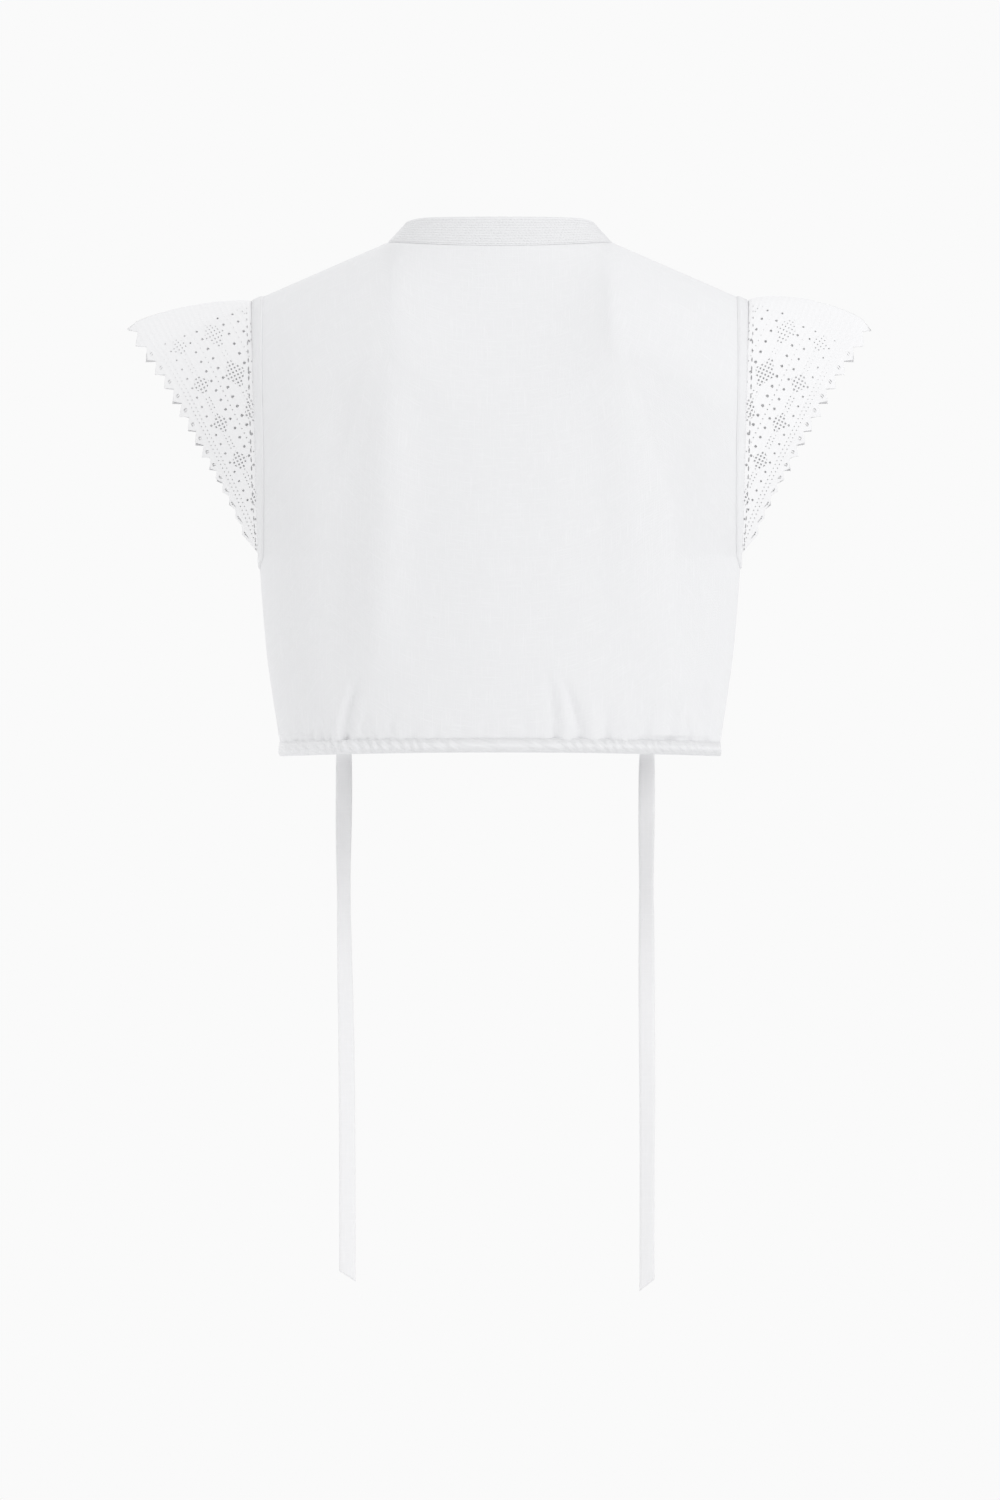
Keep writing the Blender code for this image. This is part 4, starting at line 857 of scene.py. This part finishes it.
def laid_on(cloth, normals, places):
    """Places moved onto the cloth: the nearest point of the cloth's grid, then a slide along its
    tangent plane; gives the places on the cloth and the normals there."""
    shape = places.shape
    places = places.reshape(-1, 3)
    distance = (cloth ** 2).sum(-1)[None] - 2 * places @ cloth.T
    nearest = np.argmin(distance, axis=1)
    out = normals[nearest]
    off = ((places - cloth[nearest]) * out).sum(-1, keepdims=True)
    return (places - off * out).reshape(shape), out.reshape(shape)


band_turns = np.linspace(0, 2 * np.pi, BAND_STEPS, endpoint=False)
band_grids = {}
for name, mirror, front in (("right", 1, "front_right"), ("left", -1, "front_left")):
    flip_x = np.array([mirror, 1, 1])
    near_side = back_points[..., 0] * mirror > 100 * MM
    cloth = np.concatenate([back_points[near_side], front_grids[front][front_form[..., 0] > 100 * MM]])
    normals = np.concatenate([back_out[near_side], front_outs[front][front_form[..., 0] > 100 * MM]])
    edge = armhole_line(band_turns)
    along = armhole_line(band_turns + 0.02) - armhole_line(band_turns - 0.02)
    edge, along = edge * flip_x, along * flip_x
    _, out = laid_on(cloth, normals, edge)
    inward = np.cross(along, out)
    inward /= np.linalg.norm(inward, axis=-1, keepdims=True)
    away = np.stack([np.full_like(band_turns, -0.3 * mirror), -np.sin(band_turns), -np.cos(band_turns)], -1)
    inward *= np.sign((inward * away).sum(-1, keepdims=True))
    reach = BAND_INSET + BAND_ACROSS * BAND_WIDTH
    spots, outs = laid_on(cloth, normals, edge[:, None] + inward[:, None] * reach[None, :, None])
    for _ in range(3):
        outs = 0.5 * outs + 0.25 * (np.roll(outs, 1, axis=0) + np.roll(outs, -1, axis=0))
    ripple = 0.06 * MM * np.sin(37 * band_turns + 2 * np.sin(5 * band_turns))[:, None]
    heights = (BAND_LIFT + BAND_WALL * BAND_HEIGHTS)[None] + ripple * np.sin(np.pi * BAND_ACROSS)[None]
    outer = spots + outs * heights[..., None]
    inner = (spots + outs * 0.3 * BAND_LIFT)[:, ::-2]
    ring = np.concatenate([outer, inner], axis=1)
    joined = np.concatenate([ring, ring[:1]])
    corners = quads(*joined.shape[:2], around=True) % (BAND_STEPS * ring.shape[1])
    e1 = outer[0, 4] - outer[0, 3]
    facing = np.dot(np.cross(e1, outer[1, 3] - outer[0, 3]), outs[0, 3])
    band_uv = cloth_lengths(joined)[:-1]
    band = piece("armhole_band_" + name + "_strip", ring, corners if facing > 0 else corners[:, ::-1], cotton,
                 band_uv[..., ::-1])
    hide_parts("armhole_band_" + name)
    rows = []
    for share in BAND_STITCH_SHARES:
        k = int(np.argmin(np.abs(BAND_ACROSS - share)))
        rows.append(sewn_line(np.vstack([outer[:, k], outer[:1, k]]), np.vstack([outs[:, k], outs[:1, k]]),
                              STITCH_PITCH))
    sewn = stitches("armhole_band_" + name + "_stitches", rows, thread)

# Button band and buttons
# The fronts close with a folded band of the same cloth, edge-stitched on both sides, with five
# vertical buttonholes under its buttons; a sixth button closes the collar. The buttons are small
# dished shell-look buttons with four holes, sewn on with crossed thread.
BUTTON_BAND_HALF = 11 * MM
BUTTON_BAND_TOP_GAP = 1.5 * MM
BUTTON_BAND_LIFT = 0.15 * MM
BUTTON_BAND_WALL = 1.5 * MM
BUTTON_BAND_ROWS = 130
BUTTON_RADIUS = 5.5 * MM
BUTTON_THICKNESS = 2.2 * MM
BUTTON_HEIGHTS_Z = (-88 * MM, -146 * MM, -204 * MM, -262 * MM, -320 * MM)
BUTTON_SIDES = 40
BUTTON_HOLE_AT = 1.45 * MM
BUTTON_HOLE = 0.62 * MM
BUTTON_COLOUR = (0.80, 0.79, 0.76)

button_shell = bpy.data.materials.new("shell-look button")
button_shell.use_nodes = True
shell_shader = button_shell.node_tree.nodes["Principled BSDF"]
shell_shader.inputs["Roughness"].default_value = 0.22
shell_shader.inputs["Coat Weight"].default_value = 0.35
shell_place = button_shell.node_tree.nodes.new("ShaderNodeTexCoord")
shell_noise = button_shell.node_tree.nodes.new("ShaderNodeTexNoise")
shell_noise.inputs["Scale"].default_value = 260
shell_noise.inputs["Distortion"].default_value = 1.5
button_shell.node_tree.links.new(shell_place.outputs["Object"], shell_noise.inputs["Vector"])
shell_tint = button_shell.node_tree.nodes.new("ShaderNodeMix")
shell_tint.data_type = "RGBA"
shell_tint.inputs["A"].default_value = (*[0.86 * c for c in BUTTON_COLOUR], 1)
shell_tint.inputs["B"].default_value = (*BUTTON_COLOUR, 1)
button_shell.node_tree.links.new(shell_noise.outputs["Fac"], shell_tint.inputs["Factor"])
button_shell.node_tree.links.new(shell_tint.outputs["Result"], shell_shader.inputs["Base Color"])


def straight_on(cloth, normals, x, z):
    """The cloth's points straight behind places in x and z: the grid point nearest in those two,
    then along +Y to its tangent plane."""
    x, z = np.broadcast_arrays(x, z)
    flat, out = cloth.reshape(-1, 3), normals.reshape(-1, 3)
    off = (x.ravel()[:, None] - flat[None, :, 0]) ** 2 + (z.ravel()[:, None] - flat[None, :, 2]) ** 2
    nearest = np.argmin(off, axis=1)
    p, n = flat[nearest], out[nearest]
    y = p[:, 1] - (n[:, 0] * (x.ravel() - p[:, 0]) + n[:, 2] * (z.ravel() - p[:, 2])) / n[:, 1]
    return np.stack([x.ravel(), y, z.ravel()], -1).reshape(*x.shape, 3), n.reshape(*x.shape, 3)


middle_cloth = np.concatenate([front_grids["front_left"][:, :26:-1][:, -1:], front_grids["front_left"][:, :26],
                               front_grids["front_right"][:, :26]], axis=1)
middle_out = np.concatenate([front_outs["front_left"][:, :26:-1][:, -1:], front_outs["front_left"][:, :26],
                             front_outs["front_right"][:, :26]], axis=1)
strip_across = np.array([-1.0, -0.96, -0.84, -0.6, -0.3, 0.0, 0.3, 0.6, 0.84, 0.96, 1.0])
strip_heights = np.array([0.3, 0.85, 0.82, 1.0, 1.0, 1.0, 1.0, 1.0, 0.82, 0.85, 0.3])
strip_top = front_form[0, 0, 2] - BUTTON_BAND_TOP_GAP
strip_z = np.linspace(strip_top, front_form[-1, 0, 2], BUTTON_BAND_ROWS)
strip_spots, strip_outs = straight_on(middle_cloth, middle_out, strip_across[None] * BUTTON_BAND_HALF, strip_z[:, None])
for _ in range(4):
    strip_outs[1:-1] = 0.5 * strip_outs[1:-1] + 0.25 * (strip_outs[2:] + strip_outs[:-2])
strip_outs[..., 0] *= 0.3
strip_outs /= np.linalg.norm(strip_outs, axis=-1, keepdims=True)
strip_outer = strip_spots + strip_outs * (BUTTON_BAND_LIFT + BUTTON_BAND_WALL * strip_heights)[None, :, None]
strip_inner = (strip_spots + strip_outs * 0.3 * BUTTON_BAND_LIFT)[:, ::-2]
strip_ring = np.concatenate([strip_outer, strip_inner], axis=1)
strip_faces = quads(*strip_ring.shape[:2], around=True)[:, ::-1].tolist()
strip_faces.append(list(range(strip_ring.shape[1])))
strip_faces.append(list(range((BUTTON_BAND_ROWS - 1) * strip_ring.shape[1], strip_ring.size // 3))[::-1])
strip = piece("button_band_strip", strip_ring, strip_faces, cotton, cloth_lengths(strip_ring))
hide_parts("button_band")
strip_rows = [sewn_line(strip_outer[:, k], strip_outs[:, k], STITCH_PITCH) for k in (2, 8)]


def button_form(seat, out, across):
    """A turned button: rings from the middle of its face out over the raised rim to its back; four
    bell-shaped pits in the face are its holes."""
    up = np.cross(out, across)
    up /= np.linalg.norm(up)
    across = np.cross(up, out)
    share = np.array([0.04, 0.12, 0.19, 0.26, 0.33, 0.40, 0.50, 0.62, 0.72, 0.80, 0.88, 0.96, 1.0, 1.0, 0.9, 0.55])
    height = np.array([0.70, 0.70, 0.70, 0.70, 0.70, 0.70, 0.70, 0.72, 0.84, 0.97, 1.0, 0.93, 0.78, 0.4, 0.2, 0.0])
    turn = 2 * np.pi * np.arange(BUTTON_SIDES) / BUTTON_SIDES
    x = BUTTON_RADIUS * share[:, None] * np.cos(turn)
    y = BUTTON_RADIUS * share[:, None] * np.sin(turn)
    pits = np.zeros_like(x)
    for hx, hy in ((1, 1), (1, -1), (-1, 1), (-1, -1)):
        far = np.hypot(x - hx * BUTTON_HOLE_AT, y - hy * BUTTON_HOLE_AT)
        pits += np.exp(-(far / BUTTON_HOLE) ** 4)
    lift = BUTTON_THICKNESS * (height[:, None] - 0.42 * pits * (share[:, None] < 0.6))
    return seat + across * x[..., None] + up * y[..., None] + out * lift[..., None], across, up


def make_button(node, seat, out):
    """One button with its crossed thread, standing for its CAD node."""
    points, across, up = button_form(seat, out, np.array([1.0, 0.0, 0.0]))
    rings = points.shape[0]
    faces = quads(rings, BUTTON_SIDES, around=True).tolist()
    faces.append(list(range(BUTTON_SIDES))[::-1])
    faces.append(list(range((rings - 1) * BUTTON_SIDES, rings * BUTTON_SIDES)))
    made = piece(node + "_shell", points, faces, button_shell)
    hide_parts(node)
    level = seat + out * BUTTON_THICKNESS * 0.78
    ends = np.array([level, level])
    stitch_way = np.array([across + up, across - up])
    stitches(node + "_thread", [(ends, stitch_way, np.array([out, out]))], thread,
             length=2.9 * BUTTON_HOLE_AT, thick=0.6 * MM)


for i, z in enumerate(BUTTON_HEIGHTS_Z):
    spot, out = straight_on(strip_outer, strip_outs, np.array(0.0), np.array(z))
    make_button("button_%d" % (i + 1), spot + out * 0.05 * MM, out)
    hole_rise = np.linspace(-7.5, 7.5, 26) * MM
    for edge_x in (-1.1 * MM, 1.1 * MM):
        places, outs = straight_on(strip_outer, strip_outs, np.full(26, edge_x), z + hole_rise)
        strip_rows.append((places, np.tile([1.0, 0.0, 0.0], (26, 1)), outs))
collar_front = collar_form(np.array([np.pi - 0.01, np.pi + 0.01]), np.array([0.5, 0.5]))
front_rise = collar_form(np.array(np.pi), np.array(0.55)) - collar_form(np.array(np.pi), np.array(0.45))
front_way = np.cross(front_rise, collar_front[1] - collar_front[0])
front_way *= np.sign(front_way[1]) / np.linalg.norm(front_way)
make_button("button_collar", collar_front.mean(0) + front_way * 0.3 * MM, front_way)
strip_thread = stitches("button_band_stitches", strip_rows, thread, length=1.9 * MM)

# Lace sleeves
# Each cap sleeve is one piece of white cotton guipure lace with a toothed edge, folded over the
# shoulder from the back of the underarm to its front and set into the armhole. Its openings are rows
# of eyelets, diamonds of square net and small holes between them, all under 4 mm across.
SLEEVE_GAP = -0.3 * MM
SLEEVE_EDGE = (
    {"along": 0.0, "x": 184.5 * MM, "z": -231 * MM},
    {"along": 0.12, "x": 194.0 * MM, "z": -207 * MM},
    {"along": 0.5, "x": 223.5 * MM, "z": -145 * MM},
    {"along": 0.8, "x": 252.0 * MM, "z": -93 * MM},
    {"along": 0.93, "x": 267.0 * MM, "z": -70.5 * MM},
    {"along": 1.0, "x": 274.5 * MM, "z": -57 * MM},
)
SLEEVE_EDGE_DEPTH = 27 * MM
SLEEVE_EDGE_FULLNESS = 0.8
SLEEVE_CROWN = {"left": 5.5 * MM, "right": 10 * MM}
SLEEVE_CROWN_POWER = 0.55
SLEEVE_CROWN_NARROWNESS = 10
SLEEVE_FOLD = 3.0 * MM
SLEEVE_FOLD_TURN = 0.30
SLEEVE_FOLD_HALF_WIDTH = 0.12
SLEEVE_FOLD_POWER = 0.7
SLEEVE_START = 0.16
LACE_POINTS = 31
LACE_STEPS_PER_POINT = 16
LACE_ROWS = 46
LACE_TOOTH_ROWS = 6
LACE_TOOTH = 6.6
LACE_VALLEY = 0.4
TOOTH_LEAN = 1.8 * MM
LACE_WALL = 0.75 * MM
LACE_ALONG_EDGE = np.array([0.459, 0.888])
LACE_COLOUR = (0.865, 0.865, 0.875)
EYELET_PITCH = 7.7
EYELET_ROWS = ((11.5, 0.8, 1.0), (26.5, 1.0, 3.1), (35.5, 1.15, 5.0), (55.0, 1.2, 2.2), (66.0, 1.15, 4.4))
DIAMOND_PITCH = 31.4
DIAMOND_ROWS = ((18.6, 8.5, 6.3, 6.0), (45.0, 12.0, 8.0, 10.0), (74.0, 13.0, 7.0, 25.0))
NET_PITCH = 2.7
NET_HALF_OPENING = 0.68
FINE_HALF_OPENING = 0.36
FOLD_AT_POINT = 15.5
FOLD_CLOSED_POINTS = 1.5
FOLD_FADE_POINTS = 6.0
FOLD_FADE = 0.55


def repeated(tree, place, pitch, shift):
    """The signed distance to the nearest of evenly spaced lines, one pitch apart."""
    turns = sum_node(tree, "MULTIPLY_ADD", place, 1.0 / pitch, shift / pitch)
    part = sum_node(tree, "FRACT", turns)
    return sum_node(tree, "MULTIPLY_ADD", part, pitch, -0.5 * pitch)


def oval(tree, across, along, wide, tall):
    """A distance to an oval, below 0 inside it, in millimetres near its outline."""
    x = sum_node(tree, "MULTIPLY", across, 1.0 / wide)
    y = sum_node(tree, "MULTIPLY", along, 1.0 / tall)
    square = sum_node(tree, "ADD", sum_node(tree, "MULTIPLY", x, x), sum_node(tree, "MULTIPLY", y, y))
    return sum_node(tree, "MULTIPLY_ADD", sum_node(tree, "SQRT", square), min(wide, tall), -min(wide, tall))


def lace_group():
    """Where guipure lace is open, how high its threads stand, and the painted shade of its colour.

    Every opening is a signed distance in millimetres, below 0 inside: ovals for eyelets and holes,
    and a lattice of squares cut by a diamond's outline for the net. The least of them all is the
    distance to the nearest opening; raised cords follow it, and fine stitches cover the rest.
    """
    made, given, result = group(
        "guipure lace",
        [("Cloth", "NodeSocketVector", None), ("Teeth", "NodeSocketVector", None), ("Seam", "NodeSocketVector", None)],
        [("Solid", "NodeSocketFloat"), ("Height", "NodeSocketFloat"), ("Painted shade", "NodeSocketFloat")])
    maps = []
    for name in ("Cloth", "Teeth", "Seam"):
        split = made.nodes.new("ShaderNodeSeparateXYZ")
        made.links.new(given.outputs[name], split.inputs[0])
        maps.append((split.outputs["X"], split.outputs["Y"]))
    (u, v), (tooth, _), (seam, from_seam) = maps
    openings = []
    for row, radius, shift in EYELET_ROWS:
        down = sum_node(made, "SUBTRACT", v, row)
        openings.append(oval(made, repeated(made, u, EYELET_PITCH, shift), down, radius, radius))
    net_x = sum_node(made, "ABSOLUTE", repeated(made, u, NET_PITCH, 0.0))
    net_y = sum_node(made, "ABSOLUTE", repeated(made, v, NET_PITCH, 0.6))
    net = sum_node(made, "MAXIMUM", net_x, net_y)
    wide_net = sum_node(made, "SUBTRACT", net, NET_HALF_OPENING)
    fine_net = sum_node(made, "SUBTRACT", net, FINE_HALF_OPENING)
    for row, half_wide, half_tall, shift in DIAMOND_ROWS:
        x = sum_node(made, "ABSOLUTE", repeated(made, u, DIAMOND_PITCH, shift))
        y = sum_node(made, "ABSOLUTE", sum_node(made, "SUBTRACT", v, row))
        scaled = sum_node(made, "MULTIPLY_ADD", x, half_tall / half_wide, y)
        inside = sum_node(made, "SUBTRACT", scaled, half_tall)
        openings.append(sum_node(made, "MAXIMUM", inside, wide_net))
        strip = sum_node(made, "SUBTRACT", y, 0.34 * half_tall)
        beyond = sum_node(made, "SUBTRACT", half_tall + 2.4, scaled)
        openings.append(sum_node(made, "MAXIMUM", sum_node(made, "MAXIMUM", strip, beyond), fine_net))
    for row, radius, pitch, shift in ((4.6, 0.36, 3.15, 0.0), (7.4, 0.34, 3.15, 1.5), (31.0, 0.42, 3.85, 0.0),
                                      (60.5, 0.45, 3.85, 1.2), (86.0, 0.45, 3.85, 0.0)):
        down = sum_node(made, "SUBTRACT", v, row)
        openings.append(oval(made, repeated(made, u, pitch, shift), down, radius, radius))
    across_tooth = repeated(made, sum_node(made, "MULTIPLY", tooth, 12.6), 12.6, 0.0)
    hole = oval(made, across_tooth, sum_node(made, "ADD", v, 0.3), 1.35, 1.5)
    bar = sum_node(made, "SUBTRACT", 0.3, sum_node(made, "ABSOLUTE", across_tooth))
    openings.append(sum_node(made, "MAXIMUM", hole, bar))
    beside = repeated(made, seam, 7.0, 0.0)
    openings.append(oval(made, beside, sum_node(made, "SUBTRACT", from_seam, 4.2), 2.0, 0.6))
    nearest = openings[0]
    for other in openings[1:]:
        nearest = sum_node(made, "MINIMUM", nearest, other)
    from_fold = sum_node(made, "ABSOLUTE", sum_node(made, "SUBTRACT", tooth, FOLD_AT_POINT))
    fade = made.nodes.new("ShaderNodeMapRange")
    fade.inputs["From Max"].default_value = FOLD_FADE_POINTS
    fade.inputs["To Min"].default_value = FOLD_FADE
    fade.inputs["To Max"].default_value = 0.0
    made.links.new(from_fold, fade.inputs["Value"])
    nearest = sum_node(made, "ADD", nearest, fade.outputs[0])
    nearest = sum_node(made, "MAXIMUM", nearest, sum_node(made, "SUBTRACT", FOLD_CLOSED_POINTS, from_fold))
    edge = made.nodes.new("ShaderNodeMapRange")
    edge.inputs["From Min"].default_value = -0.08
    edge.inputs["From Max"].default_value = 0.08
    made.links.new(nearest, edge.inputs["Value"])
    made.links.new(edge.outputs[0], result.inputs["Solid"])
    cord = made.nodes.new("ShaderNodeMapRange")
    cord.interpolation_type = "SMOOTHSTEP"
    cord.inputs["From Min"].default_value = 0.0
    cord.inputs["From Max"].default_value = 1.0
    cord.inputs["To Min"].default_value = 1.0
    cord.inputs["To Max"].default_value = 0.0
    made.links.new(nearest, cord.inputs["Value"])
    slant = sum_node(made, "SINE", sum_node(made, "MULTIPLY_ADD", u, 5.2, sum_node(made, "MULTIPLY", v, 3.1)))
    level = sum_node(made, "SINE", sum_node(made, "MULTIPLY", v, 0.5 * math.pi))
    stitched = sum_node(made, "MULTIPLY_ADD", level, 0.28, sum_node(made, "MULTIPLY", slant, 0.16))
    made.links.new(sum_node(made, "ADD", cord.outputs[0], stitched), result.inputs["Height"])
    # Painted shade: the colour is lighter on the raised cords and stitch ridges and darker in the hollows between them.
    made.links.new(sum_node(made, "MULTIPLY_ADD", stitched, 1.1, sum_node(made, "MULTIPLY", cord.outputs[0], 0.3)),
                   result.inputs["Painted shade"])
    return made


lace_material = bpy.data.materials.new("guipure lace")
lace_material.use_nodes = True
lace_tree = lace_material.node_tree
lace_shader = lace_tree.nodes["Principled BSDF"]
lace_shader.inputs["Roughness"].default_value = 0.85
lace_shader.inputs["Sheen Weight"].default_value = 0.15
lace_shader.inputs["Specular IOR Level"].default_value = 0.2
lace_node = lace_tree.nodes.new("ShaderNodeGroup")
lace_node.node_tree = lace_group()
for socket, layer in (("Cloth", "cloth"), ("Teeth", "teeth"), ("Seam", "seam")):
    lace_map = lace_tree.nodes.new("ShaderNodeUVMap")
    lace_map.uv_map = layer
    lace_tree.links.new(lace_map.outputs["UV"], lace_node.inputs[socket])
# The lace's colour carries painted shade, darker where its threads lie low.
lace_painted_shade = lace_tree.nodes.new("ShaderNodeMix")
lace_painted_shade.data_type = "RGBA"
lace_painted_shade.inputs["A"].default_value = (*[0.965 * c for c in LACE_COLOUR], 1)
lace_painted_shade.inputs["B"].default_value = (*LACE_COLOUR, 1)
lace_tree.links.new(lace_node.outputs["Painted shade"], lace_painted_shade.inputs["Factor"])
lace_tree.links.new(lace_painted_shade.outputs["Result"], lace_shader.inputs["Base Color"])
lace_tree.links.new(lace_node.outputs["Solid"], lace_shader.inputs["Alpha"])
lace_bump = lace_tree.nodes.new("ShaderNodeBump")
lace_bump.inputs["Strength"].default_value = 0.5
lace_bump.inputs["Distance"].default_value = 0.0003
lace_tree.links.new(lace_node.outputs["Height"], lace_bump.inputs["Height"])
lace_tree.links.new(lace_bump.outputs[0], lace_shader.inputs["Normal"])


def lace_edge(turn):
    """The lace's outer edge under its points, for the same turn as the armhole: x and z from the
    table, depth a power of a sine, to the back in the first half turn."""
    along = 1 - np.abs(1 - turn / np.pi)
    sign = np.where(turn < np.pi, -1, 1)
    return np.stack([through(SLEEVE_EDGE, "along", along, "x"),
                     sign * SLEEVE_EDGE_DEPTH * np.sin(np.pi * along) ** SLEEVE_EDGE_FULLNESS,
                     through(SLEEVE_EDGE, "along", along, "z")], -1)


def lace_form(turn, out, side):
    """The sleeve between the armhole and the lace's edge: straight lines, raised over the shoulder
    by the crown, dipped in the fold below it, with slight waves near the edge."""
    start = armhole_line(turn) + np.array([SLEEVE_GAP, 0, 0])
    point = start + (lace_edge(turn) - start) * out[..., None]
    rise = np.sin(np.pi * np.clip(out, 0, 1))
    near_top = np.cos(0.5 * (turn - np.pi)) ** SLEEVE_CROWN_NARROWNESS
    point[..., 2] += SLEEVE_CROWN[side] * rise ** SLEEVE_CROWN_POWER * near_top
    off_top = np.abs(turn - np.pi)
    fold = np.exp(-((off_top - SLEEVE_FOLD_TURN) / SLEEVE_FOLD_HALF_WIDTH) ** 2)
    point[..., 2] -= SLEEVE_FOLD * fold * rise ** SLEEVE_FOLD_POWER
    limp = np.sin(9.5 * turn + (0 if side == "left" else 2)) + 0.6 * np.sin(21 * turn + 1)
    point[..., 1] += 0.55 * MM * limp * out ** 2 * np.abs(np.sin(turn))
    return point


lace_columns = LACE_POINTS * LACE_STEPS_PER_POINT + 1
lace_turns = np.linspace(SLEEVE_START, 2 * np.pi - SLEEVE_START, lace_columns)
lace_phase = np.linspace(0, LACE_POINTS, lace_columns)
tooth_shape = 1 - np.abs(2 * (lace_phase % 1) - 1)
tooth_uneven = 1 + 0.16 * np.sin(2.3 * np.floor(lace_phase))
tooth_height = LACE_VALLEY + (LACE_TOOTH - LACE_VALLEY) * tooth_shape * tooth_uneven
for side, mirror in (("right", 1), ("left", -1)):
    out_grid, turn_grid = np.meshgrid(np.linspace(0, 1, LACE_ROWS), lace_turns, indexing="ij")
    body_rows = lace_form(turn_grid, out_grid, side)
    rim = body_rows[-1]
    ahead = np.gradient(rim, axis=0)
    away = rim - body_rows[-2]
    away -= ahead * ((away * ahead).sum(-1) / (ahead ** 2).sum(-1))[:, None]
    away /= np.linalg.norm(away, axis=-1, keepdims=True)
    steps = np.linspace(0, 1, LACE_TOOTH_ROWS + 1)[1:]
    teeth = rim[None] + away[None] * (steps[:, None] * tooth_height[None] * MM)[..., None]
    downward = -ahead * np.sign(ahead[:, 2:]) / np.linalg.norm(ahead, axis=-1, keepdims=True)
    teeth += downward[None] * (steps[:, None] * tooth_shape[None] * TOOTH_LEAN)[..., None]
    rows = np.concatenate([body_rows, teeth])
    flat_start = armhole_line(turn_grid) + np.array([SLEEVE_GAP, 0, 0])
    flat = flat_start + (lace_edge(turn_grid) - flat_start) * out_grid[..., None]
    half = np.linspace(SLEEVE_START, np.pi, 400)
    edge = lace_edge(half)[:, [0, 2]] / MM
    inward = np.array([-LACE_ALONG_EDGE[1], LACE_ALONG_EDGE[0]])
    flat = flat[..., [0, 2]] / MM
    u = flat @ LACE_ALONG_EDGE
    v = flat @ inward - np.interp(u, edge @ LACE_ALONG_EDGE, edge @ inward)
    u = np.concatenate([u, np.repeat(u[-1:], LACE_TOOTH_ROWS, axis=0)])
    v = np.concatenate([v, v[-1] - steps[:, None] * tooth_height[None]])
    rows = rows * np.array([mirror, 1, 1])
    corners = quads(*rows.shape[:2])
    middle = lace_columns // 4
    facing = np.cross(rows[20, middle + 1] - rows[20, middle], rows[21, middle] - rows[20, middle])
    made = piece("sleeve_" + side + "_lace", rows, corners if facing[1] < 0 else corners[:, ::-1], lace_material,
                 np.stack([u, v], -1))
    loops = np.empty(len(made.data.loops), int)
    made.data.loops.foreach_get("vertex_index", loops)
    tooth_map = np.stack(np.broadcast_arrays(lace_phase[None], v), -1)
    run = np.concatenate([[0], np.cumsum(np.linalg.norm(np.diff(body_rows[0], axis=0), axis=-1))]) / MM
    from_seam = np.linalg.norm(rows - rows[:1], axis=-1) / MM
    seam_map = np.stack(np.broadcast_arrays(run[None], from_seam), -1)
    for layer, values in (("teeth", tooth_map), ("seam", seam_map)):
        made.data.uv_layers.new(name=layer).data.foreach_set("uv", values.reshape(-1, 2)[loops].ravel())
    cloth_wall(made, LACE_WALL)
    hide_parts("sleeve_" + side)
